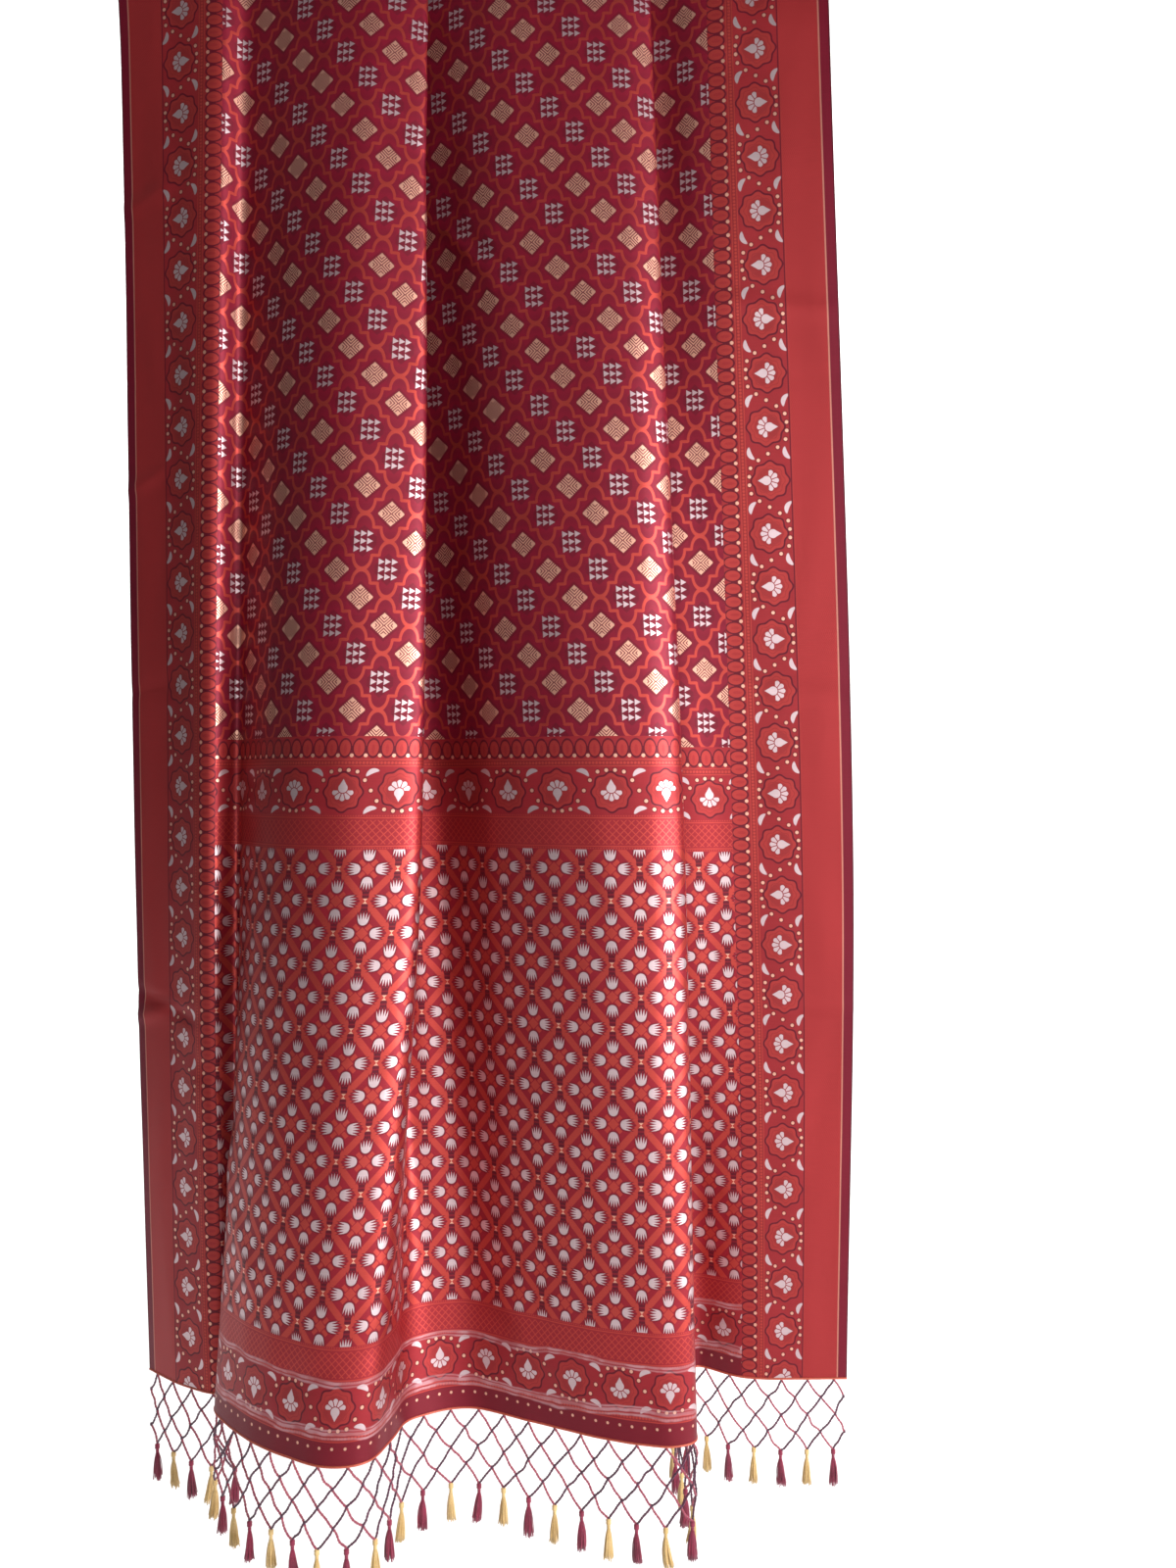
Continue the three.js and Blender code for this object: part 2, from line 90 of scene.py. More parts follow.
STATIONS = (0.0, 303.0, 1086.0, FRONT_DROP)
FOLD_LINES = {
    # name: (rod, top, mid, hem, back), each (x, out)
    "left_edge": ((-384, UNDER), (-369, 26), (-372, -18), (-361, -30), (-350, 34)),
    "left_border": ((-330, UNDER), (-315, 44), (-326, 9), (-320, 0), (-303, 50)),
    "border_edge": ((-272, UNDER), (-260, 58), (-275, 42), (-278, 20), (-256, 58)),
    "valley_0": ((-240, UNDER), (-240, 44), (-254, 24), (-258, 14), (-228, 37)),
    "bulge_0": ((-214, UNDER + 1.5), (-218, 52), (-240, 44), (-269, 45), (-206, 48)),
    "bulge_1": ((-174, OUTER), (-178, 70), (-206, 86), (-230, 95), (-174, 64)),
    "rise_1": ((-118, OUTER), (-136, 82), (-160, 116), (-182, 129), (-120, 76)),
    "crest_1": ((-62, OUTER), (-100, 84), (-112, 124), (-136, 148), (-66, 78)),
    "crest_1_turn": ((-62, MIDDLE), (-58, 70), (-61, 108), (-104, 140), (-63, 70)),
    "return_1": ((-112, MIDDLE), (-112, 56), (-70, 76), (-88, 108), (-98, 60)),
    "inner_1": ((-163, MIDDLE), (-160, 52), (-98, 56), (-78, 72), (-138, 52)),
    "inner_1_turn": ((-163, UNDER), (-160, 45), (-103, 42), (-60, 58), (-138, 42)),
    "under_1": ((-112, UNDER), (-118, 40), (-80, 40), (-36, 48), (-98, 36)),
    "start_2": ((-58, UNDER), (-78, 36), (-46, 38), (-12, 48), (-45, 36)),
    "mid_2": ((6, UNDER), (6, 70), (12, 84), (40, 71), (20, 48)),
    "rise_2": ((50, OUTER), (52, 78), (64, 109), (92, 94), (66, 66)),
    "swell_2": ((104, OUTER), (104, 83), (120, 124), (146, 112), (118, 82)),
    "crest_2": ((152, OUTER), (138, 81), (159, 123), (174, 116), (168, 86)),
    "crest_2_turn": ((152, MIDDLE), (156, 71), (185, 107), (195, 106), (172, 77)),
    "return_2": ((108, MIDDLE), (112, 56), (150, 70), (190, 50), (128, 62)),
    "inner_2": ((66, MIDDLE), (70, 53), (106, 34), (184, -25), (90, 50)),
    "inner_2_turn": ((66, UNDER), (70, 46), (108, 24), (191, -40), (92, 40)),
    "under_2": ((112, UNDER), (112, 44), (150, 17), (204, -49), (132, 36)),
    "start_3": ((160, UNDER), (160, 46), (195, 18), (213, -60), (180, 38)),
    "border_3": ((214, UNDER), (211, 66), (245, 14), (262, -36), (232, 58)),
    "right_edge": ((328, UNDER), (325, 80), (360, 24), (366, -34), (338, 44)),
}
LINE_NAMES = list(FOLD_LINES)
LINES = np.array(list(FOLD_LINES.values()), float)
ROD, BACK = 0, 4
print(len(LINE_NAMES), "fold lines")


# %% A section through the folds
def through_stations(drop):
    """Each fold line's (x, out) at a drop below the rod, on a smooth curve that leaves the rod level."""
    last = len(STATIONS) - 1
    values = LINES[:, : last + 1]
    i = min(int(np.searchsorted(STATIONS, drop, side="left")) - 1, last - 1)
    i = max(i, 0)

    def slope(k):
        if k == 0:
            return np.zeros_like(values[:, 0])
        after = min(k + 1, last)
        return (values[:, after] - values[:, k - 1]) / (STATIONS[after] - STATIONS[k - 1])

    if i + 1 == last:
        slope_after = (values[:, last] - values[:, i]) / (STATIONS[last] - STATIONS[i])
    else:
        slope_after = slope(i + 1)
    span = STATIONS[i + 1] - STATIONS[i]
    t = (drop - STATIONS[i]) / span
    return (
        (2 * t**3 - 3 * t**2 + 1) * values[:, i]
        + (t**3 - 2 * t**2 + t) * span * slope(i)
        + (3 * t**2 - 2 * t**3) * values[:, i + 1]
        + (t**3 - t**2) * span * slope_after
    )


def sag_share():
    """How much of the side sag each fold line has: none up to crest 2, all of it from section 3 on."""
    low, high = LINE_NAMES.index("crest_2_turn"), LINE_NAMES.index("start_3")
    t = np.clip((np.arange(len(LINES)) - low) / (high - low), 0, 1)
    return t * t * (3 - 2 * t)


def fold_points(side, drop):
    """Each fold line's x, distance from the rod's axis, and extra sag at one level."""
    if side == "front":
        across = through_stations(drop)
        sag = sag_share() * SIDE_SAG * drop / FRONT_DROP
        return np.column_stack([across, sag])
    t = drop / BACK_DROP if side == "back" else 0
    ease = t * t * (2 - t)
    across = LINES[:, ROD] * (1 - ease) + LINES[:, BACK] * ease
    return np.column_stack([across, np.zeros(len(LINES))])


SAMPLES_PER_SPAN = 30


def smooth_curve(points):
    """A centripetal Catmull-Rom curve through the points, sampled evenly in each span."""
    first, last = 2 * points[0] - points[1], 2 * points[-1] - points[-2]
    p = np.vstack([first, points, last])
    step = np.sqrt(np.linalg.norm(np.diff(p, axis=0), axis=1))
    before, here, after = step[:-2, None], step[1:-1, None], step[2:, None]
    p0, p1, p2, p3 = p[:-3], p[1:-2], p[2:-1], p[3:]
    t1 = ((p1 - p0) / before - (p2 - p0) / (before + here) + (p2 - p1) / here) * here
    t2 = ((p2 - p1) / here - (p3 - p1) / (here + after) + (p3 - p2) / after) * here
    t = (np.arange(SAMPLES_PER_SPAN) / SAMPLES_PER_SPAN)[None, :, None]
    a, b, c, d = (v[:, None, :] for v in (p1, t1, -3 * p1 + 3 * p2 - 2 * t1 - t2, 2 * p1 - 2 * p2 + t1 + t2))
    inside = a + b * t + c * t**2 + d * t**3
    return np.vstack([inside.reshape(-1, 3), points[-1]])


def section(side, drop, across):
    """Points of the cloth's middle at one level, at these distances across the cloth, in millimetres."""
    curve = smooth_curve(fold_points(side, drop))
    if side != "front" or drop <= SPARE_FOOT:
        curve[:, 1] = np.maximum(curve[:, 1], UNDER)
    along = np.r_[0, np.cumsum(np.linalg.norm(np.diff(curve, axis=0), axis=1))]
    share = across / CLOTH_WIDTH * along[-1]
    return np.column_stack([np.interp(share, along, curve[:, k]) for k in range(3)]), along


_, hem_along = section("front", FRONT_DROP, np.array([0.0]))
print("the section at the hem is", round(hem_along[-1]), "mm long for a cloth of", CLOTH_WIDTH)
for station in STATIONS:
    _, along = section("front", station, np.array([0.0]))
    at_lines = along[::SAMPLES_PER_SPAN] / along[-1] * CLOTH_WIDTH
    print(int(station), {n: int(a) for n, a in zip(LINE_NAMES, at_lines)})


# %% [markdown]
# Between the folds the cloth isn't smooth: it keeps creases from being packed, and small ripples.
# Each crease is a soft trough or ridge, given one by one: where it starts and ends on the flat cloth,
# how deep it is and how wide. They move the surface in and out by a millimetre or so.

# %% Creases and ripples
CREASES = [
    # across, from the hem, to across, to from the hem, depth, half width
    (0, 379, 1150, 381, -0.8, 3.0),
    (0, 368, 60, 385, 2.2, 7.0),
    (0, 395, 90, 372, -1.8, 6.0),
    (0, 1010, 1150, 1004, -0.5, 3.0),
    (0, 905, 46, 918, 1.6, 6.0),
    (0, 700, 70, 712, -1.2, 7.0),
    (0, 1180, 60, 1196, 1.3, 8.0),
    (560, 1150, 620, 1085, 1.8, 7.0),
    (590, 1135, 640, 1090, -1.6, 6.0),
    (575, 1100, 650, 1062, 1.3, 6.0),
    (545, 905, 600, 880, -1.2, 7.0),
    (640, 850, 700, 835, 1.0, 8.0),
    (300, 1240, 372, 1170, -1.2, 9.0),
    (250, 960, 330, 905, 1.0, 9.0),
    (130, 520, 210, 470, 1.6, 11.0),
    (95, 330, 190, 262, -2.0, 12.0),
    (150, 250, 240, 140, 1.8, 12.0),
    (280, 60, 420, 110, -1.2, 12.0),
    (560, 120, 660, 40, 1.4, 13.0),
    (650, 205, 760, 120, -1.2, 14.0),
    (620, 500, 690, 430, 0.9, 10.0),
    (1000, 380, 1150, 392, 1.4, 8.0),
    (1010, 720, 1150, 700, -1.0, 9.0),
    (960, 240, 1060, 170, 1.2, 12.0),
    (1040, 1080, 1150, 1064, 1.1, 9.0),
    (980, 1330, 1080, 1290, -1.0, 10.0),
    (200, 1900, 420, 1830, 1.4, 14.0),
    (480, 2300, 640, 2150, -1.6, 16.0),
    (700, 2050, 900, 2120, 1.3, 14.0),
    (80, 2500, 240, 2420, 1.5, 14.0),
    (820, 2700, 1020, 2580, -1.5, 16.0),
    (380, 2860, 560, 2760, 1.4, 14.0),
]


def creases(u, v):
    """How far the creases and ripples move the cloth outwards, in millimetres."""
    move = np.zeros(np.broadcast(u, v).shape)
    for u0, v0, u1, v1, depth, half in CREASES:
        du, dv = u1 - u0, v1 - v0
        length = math.hypot(du, dv)
        t = ((u - u0) * du + (v - v0) * dv) / length**2
        off = ((v - v0) * du - (u - u0) * dv) / length
        taper = 1 / (1 + np.exp(-np.minimum(t, 1 - t) * length / (half * 0.8)))
        move += depth * np.exp(-((off / half) ** 2)) * taper
    ripple = 0.55 * np.sin(u / 21 + 0.8 * np.sin(v / 160)) * np.sin(v / 230 + u / 90)
    fine = 0.22 * np.sin(u / 7.3 + 1.7 * np.sin(v / 83)) * np.sin(v / 61 + 0.9 * np.sin(u / 40))
    return move + ripple + fine


# %% The whole cloth as one grid of points
COLUMNS = 322
ROW_STEP = 6.0
BACK_ROW_STEP = 11.0
TURN_ROWS = 18
THICKNESS = 0.7
# Near the rod, between these distances from the hem, the creases are nearly flat
CALM_FROM = FRONT_DROP - 200
CALM_TO = 2200
CALM_FADE = 120

across = np.linspace(0, CLOTH_WIDTH, COLUMNS)


def level_list():
    """Every level from the front hem up, over the rod and down the back, with its distance from the hem."""
    pallu_rows = round(PALLU_LENGTH / ROW_STEP)
    body_rows = round((FRONT_DROP - PALLU_LENGTH) / ROW_STEP)
    back_rows = round(BACK_DROP / BACK_ROW_STEP)
    drops = np.r_[
        np.linspace(FRONT_DROP, FRONT_DROP - PALLU_LENGTH, pallu_rows + 1),
        np.linspace(FRONT_DROP - PALLU_LENGTH, 0, body_rows + 1)[1:],
    ]
    levels = [("front", d, FRONT_DROP - d) for d in drops]
    over = math.pi * MIDDLE
    levels += [("over", math.pi * t, FRONT_DROP + over * t) for t in np.linspace(0, 1, TURN_ROWS + 1)[1:]]
    levels += [("back", d, FRONT_DROP + over + d) for d in np.linspace(0, BACK_DROP, back_rows + 1)[1:]]
    marks = np.cumsum([pallu_rows, body_rows, TURN_ROWS, back_rows])
    return levels, [0, *marks]


def placed(side, level, p):
    """Section points in space: down the front, round the rod, or down the back."""
    x, out, sag = p.T
    if side == "front":
        return np.column_stack([x, -out, -level - sag])
    if side == "back":
        return np.column_stack([x, out, np.full_like(x, -level)])
    return np.column_stack([x, -out * math.cos(level), out * math.sin(level)])


def surface_normals(grid):
    """Unit normals of a grid of points, pointing away from the rod's side."""
    up = np.gradient(grid, axis=0)
    right = np.gradient(grid, axis=1)
    normal = np.cross(right, up)
    return normal / np.linalg.norm(normal, axis=2, keepdims=True)


levels, ROW_MARKS = level_list()
from_hem = np.array([v for _, _, v in levels])
flat_u, flat_v = np.meshgrid(across, from_hem)
rows = []
for side, level, _ in levels:
    points, _ = section(side, 0 if side == "over" else level, across)
    rows.append(placed(side, level, points))
middle = np.stack(rows)
normals = surface_normals(middle)
past_calm = np.minimum(from_hem - CALM_FROM, CALM_TO - from_hem)
on_rod = np.clip(past_calm / CALM_FADE, 0, 1)[:, None]
move = creases(flat_u, flat_v) * (1 - 0.9 * on_rod)
middle = middle + normals * move[:, :, None]
normals = surface_normals(middle)
print("cloth grid", middle.shape, "from", from_hem[0], "to", round(from_hem[-1]), "mm")

# %% [markdown]
# The grid is cut into pieces at the heading of the end piece, at the rod, and at the inner folds,
# where no cut shows. Each piece is a closed shell as thick as the silk, with two maps: OFBake fills
# a square, and Cloth holds the place on the flat cloth in metres, which the woven pattern reads.


# %% A closed shell from part of the grid
def new_object(name, vertices, faces, material):
    mesh = bpy.data.meshes.new(name)
    mesh.from_pydata(vertices, [], faces)
    mesh.materials.append(material)
    mesh.polygons.foreach_set("use_smooth", np.ones(len(mesh.polygons), bool))
    made = bpy.data.objects.new(name, mesh)
    bpy.context.scene.collection.objects.link(made)
    return made


def add_map(mesh, name, values):
    """A UV map with one pair of values for each vertex."""
    corner = np.zeros(len(mesh.loops), np.int32)
    mesh.loops.foreach_get("vertex_index", corner)
    layer = mesh.uv_layers.new(name=name)
    layer.data.foreach_set("uv", values[corner].astype(np.float32).ravel())


def unit_square(values):
    low, high = values.min(0), values.max(0)
    return (values - low) / (high - low)


def shell_faces(rows, columns):
    """Quads of an outer and an inner grid and of the rim between them."""
    index = np.arange(rows * columns).reshape(rows, columns)
    a, b, c, d = (index[:-1, :-1], index[:-1, 1:], index[1:, 1:], index[1:, :-1])
    outer = np.stack([a, b, c, d], -1).reshape(-1, 4)
    size = rows * columns
    inner = outer[:, ::-1] + size
    loop = np.r_[index[0, :-1], index[:-1, -1], index[-1, :0:-1], index[:0:-1, 0]]
    following = np.roll(loop, -1)
    rim = np.stack([loop, loop + size, following + size, following], -1)
    return np.vstack([outer, inner, rim]).tolist()


def cloth_piece(name, rows, columns, material):
    """A shell over rows and columns of the cloth's grid, both ends included."""
    part = np.s_[rows[0] : rows[1] + 1, columns[0] : columns[1] + 1]
    at, out = middle[part].reshape(-1, 3), normals[part].reshape(-1, 3)
    half = THICKNESS / 2
    vertices = np.vstack([at + out * half, at - out * half]) * MM
    shape = middle[part].shape[:2]
    made = new_object(name, vertices.tolist(), shell_faces(*shape), material)
    made.data.normals_split_custom_set_from_vertices(np.vstack([out, -out]).tolist())
    flat = np.stack([flat_u[part], flat_v[part]], -1).reshape(-1, 2)
    flat = np.vstack([flat, flat])
    add_map(made.data, "OFBake", unit_square(flat))
    add_map(made.data, "Cloth", flat * MM)
    size = (flat.max(0) - flat.min(0)) * MM
    print(name, len(made.data.polygons) * 2, "triangles, flat", np.round(size, 3))
    return made, size


# %% [markdown]
# The finish is a brocade: red silk with copper and silver metal threads that make the figures. It is
# written as maths on the flat cloth's place in millimetres, so one small class wraps a socket and
# lets shader maths read like arithmetic.


# %% Shader maths
class Graph:
    """A material's node tree, with short ways to add nodes."""

    def __init__(self, name):
        self.material = bpy.data.materials.new(name)
        self.material.use_nodes = True
        self.tree = self.material.node_tree
        self.shader = self.tree.nodes["Principled BSDF"]

    def node(self, kind, settings=None, inputs=None):
        made = self.tree.nodes.new(kind)
        for key, value in (settings or {}).items():
            setattr(made, key, value)
        for key, value in (inputs or {}).items():
            self.feed(made.inputs[key], value)
        return made

    def feed(self, socket, value):
        if isinstance(value, Field):
            value = value.socket
        if isinstance(value, bpy.types.NodeSocket):
            self.tree.links.new(value, socket)
        else:
            socket.default_value = value

    def math(self, operation, *values, clamp=False):
        made = self.node("ShaderNodeMath", {"operation": operation, "use_clamp": clamp})
        for socket, value in zip(made.inputs, values):
            self.feed(socket, value)
        return Field(self, made.outputs[0])

    def mix(self, mask, below, above):
        """The colour above where the mask is 1, and the one below where it is 0."""
        made = self.node("ShaderNodeMix", {"data_type": "RGBA"})
        for index, value in ((0, mask), (6, below), (7, above)):
            self.feed(made.inputs[index], value)
        return made.outputs[2]

    def noise(self, place, scale, detail=2):
        """Soft noise, between about 0 and 1."""
        made = self.node("ShaderNodeTexNoise", inputs={"Vector": place, "Scale": scale, "Detail": detail})
        return Field(self, made.outputs[0])

    def bump(self, height, strength, distance):
        """The shader's normal, tilted by a height."""
        inputs = {"Height": height, "Strength": strength, "Distance": distance}
        return self.node("ShaderNodeBump", inputs=inputs).outputs[0]

    def set(self, **values):
        """Sockets of the shader by name, with _ for a space."""
        for key, value in values.items():
            self.feed(self.shader.inputs[key.replace("_", " ")], value)


class Field:
    """A number that changes over the surface."""

    def __init__(self, graph, socket):
        self.graph, self.socket = graph, socket

    def __add__(self, other):
        return self.graph.math("ADD", self, other)

    def __sub__(self, other):
        return self.graph.math("SUBTRACT", self, other)

    def __rsub__(self, other):
        return self.graph.math("SUBTRACT", other, self)

    def __mul__(self, other):
        return self.graph.math("MULTIPLY", self, other)

    def __truediv__(self, other):
        return self.graph.math("DIVIDE", self, other)

    def __abs__(self):
        return self.graph.math("ABSOLUTE", self)

    __radd__, __rmul__ = __add__, __mul__

    def floor(self):
        return self.graph.math("FLOOR", self)

    def cos(self):
        return self.graph.math("COSINE", self)

    def sin(self):
        return self.graph.math("SINE", self)

    def modulo(self, other):
        return self.graph.math("FLOORED_MODULO", self, other)

    def wrap(self, period):
        """The distance to the nearest multiple of the period, with its sign."""
        return self.graph.math("WRAP", self, period / 2, -period / 2)

    def fold(self, period):
        """The distance to the nearest multiple of the period, without its sign."""
        return self.graph.math("PINGPONG", self, period / 2)

    def least(self, other):
        return self.graph.math("MINIMUM", self, other)

    def most(self, other):
        return self.graph.math("MAXIMUM", self, other)

    def inside(self, soft=0.5):
        """1 where the distance is negative, 0 where it is positive, soft at the edge."""
        return self.graph.math("MULTIPLY_ADD", self, -1 / soft, 0.5, clamp=True)

    def above(self, limit):
        return self.graph.math("GREATER_THAN", self, limit)

    def between(self, low, high, soft=0.4):
        """1 from low to high."""
        half = (high - low) / 2
        return (abs(self - (low + half)) - half).inside(soft)


def length(x, y):
    """The length of (x, y)."""
    return x.graph.math("SQRT", x * x + y * y)


def linear(r, g, b):
    """A colour given as 0 to 255 on the screen, as the shader's linear colour."""
    return (*(((c / 255 + 0.055) / 1.055) ** 2.4 if c > 10 else c / 3295 for c in (r, g, b)), 1)


# %% [markdown]
# A woven figure is one of four threads over the ground: dark silk, copper, peach and silver. Each
# motif returns how much of each thread shows, and the zones of the cloth are added together.


# %% Threads that show
class Threads:
    """How much dark silk, copper, peach and silver shows at a point."""

    KINDS = ("dark", "copper", "peach", "silver")

    def __init__(self, **kinds):
        self.kinds = kinds

    def within(self, zone):
        return Threads(**{k: v * zone for k, v in self.kinds.items()})

    def __add__(self, other):
        both = {}
        for kind in self.KINDS:
            found = [t.kinds[kind] for t in (self, other) if kind in t.kinds]
            if found:
                both[kind] = found[0] if len(found) == 1 else found[0] + found[1]
        return Threads(**both)


# %% [markdown]
# The flower band is the same in the side borders, the heading and the end border: roundels with a
# palmette that points to one side and then to the other, a winding garland of dots, and leaves.

# %% Flower band
ROUNDEL_PITCH = 50.5
ROUNDEL_RADIUS = 16.6
LOBES = 8
GARLAND = ((4.0, 18.7), (12.0, 17.3), (19.3, 9.5), (25.25, 0.0))
PETAL_ANGLE = math.radians(36)
LEAF_OUT = 17.2
LEAF_SLANT = math.radians(24)


def palmette(x, y):
    """A pointed leaf with five petals round its foot."""
    point = (abs(x) / 4.3 + (y - 3) / 7.5 - 1) * 3.8
    point = point.inside() * (y - 3).above(0)
    foot = length(x, y - 2.2) - 4.3
    r = length(x, y - 0.5)
    angle = x.graph.math("ARCTAN2", x, 0.5 - y)
    off = angle.fold(PETAL_ANGLE)
    edge = ((off - PETAL_ANGLE / 2) * r + 0.45).most(r + off * off * 20 - 10.2).most(0.9 - foot)
    petals = edge.inside() * (abs(angle) - PETAL_ANGLE * 2.5).inside(0.05)
    return point.most(foot.inside()).most(petals)


def flower_edge(x, y):
    """The dark ground close round a palmette."""
    return (length(x / 11.5, y / 12.2) - 1).inside(0.1)


def flower_band(c, s):
    """c is the distance from the band's middle and s the distance along it."""
    number = (s / ROUNDEL_PITCH + 0.5).floor()
    turned = 1 - 2 * number.modulo(2)
    x = s - number * ROUNDEL_PITCH
    y = c * turned
    r = length(x, y + 1.5)
    lobe = (x.graph.math("ARCTAN2", y + 1.5, x) * LOBES).cos()
    disc = (r - lobe * 1.1 - ROUNDEL_RADIUS).inside()
    ring = (abs(r - lobe * 0.9 - 13.2) - 0.5).inside()
    outline = (abs(r - lobe * 1.1 - ROUNDEL_RADIUS - 0.9) - 0.9).inside()
    flower = palmette(x, y)
    beside = abs(x)
    dots = None
    for along, out in GARLAND:
        near = length(beside - along, y - out)
        dots = near if dots is None else dots.least(near)
    gap = (s / ROUNDEL_PITCH).floor()
    lean = 1 - 2 * gap.modulo(2)
    leaf_x = (s - (gap + 0.5) * ROUNDEL_PITCH) * lean
    leaf_y = (c - LEAF_OUT).wrap(2 * LEAF_OUT)
    long = leaf_x * math.cos(LEAF_SLANT) + leaf_y * math.sin(LEAF_SLANT)
    wide = leaf_y * math.cos(LEAF_SLANT) - leaf_x * math.sin(LEAF_SLANT) + long * long * 0.05 - 0.6
    leaves = ((length(long / 6.2, wide / 2.3) - 1) * 2.6).inside()
    silver = flower.most(leaves)
    peach = (dots - 1.7).inside() * (1 - silver)
    lines = outline.most(ring * 0.35).most((dots - 2.8).inside() * 0.6).most((flower_edge(x, y)) * 0.35)
    copper = (disc * 0.3 + 0.14) * (1 - lines) * (1 - silver) * (1 - peach)
    return Threads(dark=lines * 0.95, copper=copper, peach=peach, silver=silver)


# %% Rope, paisley and diaper bands
BEAD_PITCH = 3.2
PAISLEY_PITCH = 12.6
DIAPER_PITCH = 7.0


def rope_band(c, s):
    """c runs from 0 to 7 across the band: beads between two thin lines."""
    lines = (abs(abs(c - 3.5) - 2.9) - 0.4).inside()
    beads = (length(c - 3.5, s.wrap(BEAD_PITCH)) - 1.2).inside()
    return Threads(dark=(1 - lines.most(beads)) * 0.45, copper=lines.most(beads) * 0.5 + 0.25)


def paisley_band(c, s):
    """c runs from 0 at the rope to 18 at the field: rounded drops with a dot between their feet."""
    from_edge = (length((c - 10) / 7.4, s.wrap(PAISLEY_PITCH) / 4.9) - 1) * 5.5
    drops = from_edge.inside()
    outline = (abs(from_edge - 0.7) - 0.7).inside()
    core = ((length((c - 9) / 4.4, s.wrap(PAISLEY_PITCH) / 1.5) - 1) * 2.5).inside()
    between = (s + PAISLEY_PITCH / 2).wrap(PAISLEY_PITCH)
    dots = (length(c - 3.2, between) - 1.75).inside()
    stem = (abs(between) - 0.7).inside() * c.between(5, 12)
    lines = outline.most(stem)
    copper = (drops * (0.5 - core * 0.2)).most(0.18) * (1 - dots) * (1 - lines)
    return Threads(dark=lines * 0.9, copper=copper, peach=dots)


def diaper_band(c, s, width):
    """Crossed thin lines between beaded edges."""
    crossed = (c + s).fold(DIAPER_PITCH).least((c - s + 700).fold(DIAPER_PITCH))
    lattice = (crossed - 0.55).inside() * c.between(5, width - 5)
    edge = (abs(abs(c - width / 2) - (width / 2 - 3)) - 0.5).inside()
    beads = (abs(abs(c - width / 2) - (width / 2 - 1.2)) - 0.6).inside() * (s.fold(2.4) - 0.6).inside()
    copper = lattice * 0.75 + edge * 0.7 + beads * 0.6 + 0.14
    return Threads(copper=copper)


# %% [markdown]
# The body has a stepped ogee trellis with two figures in turn along the slant: a striped diamond
# and a block of nine small arrowheads. The end piece has quatrefoils of four tulips in a diamond
# lattice, every other column dropped by half a repeat, joined by short barred posts.

# %% Body figures
COLUMN_STEP = 23.46
ROW_PITCH = 52.0
ARROW_PITCH = (5.9, 7.1)
STRIPE_PITCH = 3.0


def body_figures(x, y):
    """x is the distance from the field's edge and y the distance along the cloth."""
    column = (x / COLUMN_STEP + 0.5).floor()
    fx = x - column * COLUMN_STEP
    odd = column.modulo(2)
    shifted = y + odd * (ROW_PITCH / 2)
    row = (shifted / ROW_PITCH + 0.5).floor()
    fy = shifted - row * ROW_PITCH
    slant = ((column - odd) / 2 + row).modulo(2)
    ax, ay = abs(fx), abs(fy)
    diamond = ((ax / 12.4 + ay / 11.7 - 1) * 8.5).inside()
    stripe = ((ax - ay + 11.7).fold(STRIPE_PITCH) - 0.62).inside() * (ay - 8.2).inside() * (ax - 8).inside()
    diamond = diamond * (1 - stripe) * slant
    in_block = (ax - 1.5 * ARROW_PITCH[0]).most(ay - 1.5 * ARROW_PITCH[1]).inside()
    tx, ty = fx.wrap(ARROW_PITCH[0]), fy.fold(ARROW_PITCH[1])
    arrow = (ty - (2.8 - tx) * 0.55).most(-2.6 - tx).inside()
    arrows = arrow * in_block * (1 - slant)
    h = ROW_PITCH / 2 - ay
    ogee = (abs(length(fx / 8.3, (h - 13) / 12.7) - 1) * 9.5 - 1.45).inside() * (h - 13.8).inside()
    step = (abs(h - 13) - 1.45).inside() * (ax - 8).above(0)
    trellis = ogee.most(step)
    halo = ((ax / 16 + ay / 15 - 1) * 9).inside()
    dark = halo * 0.5 + (1 - halo) * (abs(h) - 9).inside(4) * 0.2
    return Threads(dark=dark, copper=trellis * 0.85, peach=diamond, silver=arrows)


# %% End piece figures
CELL = (53.2, 58.5)
TULIP_OUT = (11.7, 12.0)
CELL_FROM_HEM = 121.0
SPIKE_PITCH = 2.1
SPIKE_SPLAY = 0.05


def tulip(along, aside):
    """A tulip seen from the side that points along: a round cup with five spikes that spread."""
    cup = length((along + 0.2) / 4.5, aside / 4.6) * 4.5 - 4.5
    spread = aside / (along * SPIKE_SPLAY + 1)
    notch = spread.fold(SPIKE_PITCH) / (SPIKE_PITCH / 2)
    spikes = (along - (7.2 - 0.1 * spread * spread - 6.8 * notch)) * 0.4
    head = (abs(spread) - 4.9).most(spikes).most(-0.5 - along)
    return cup.most(along - 0.6).least(head)


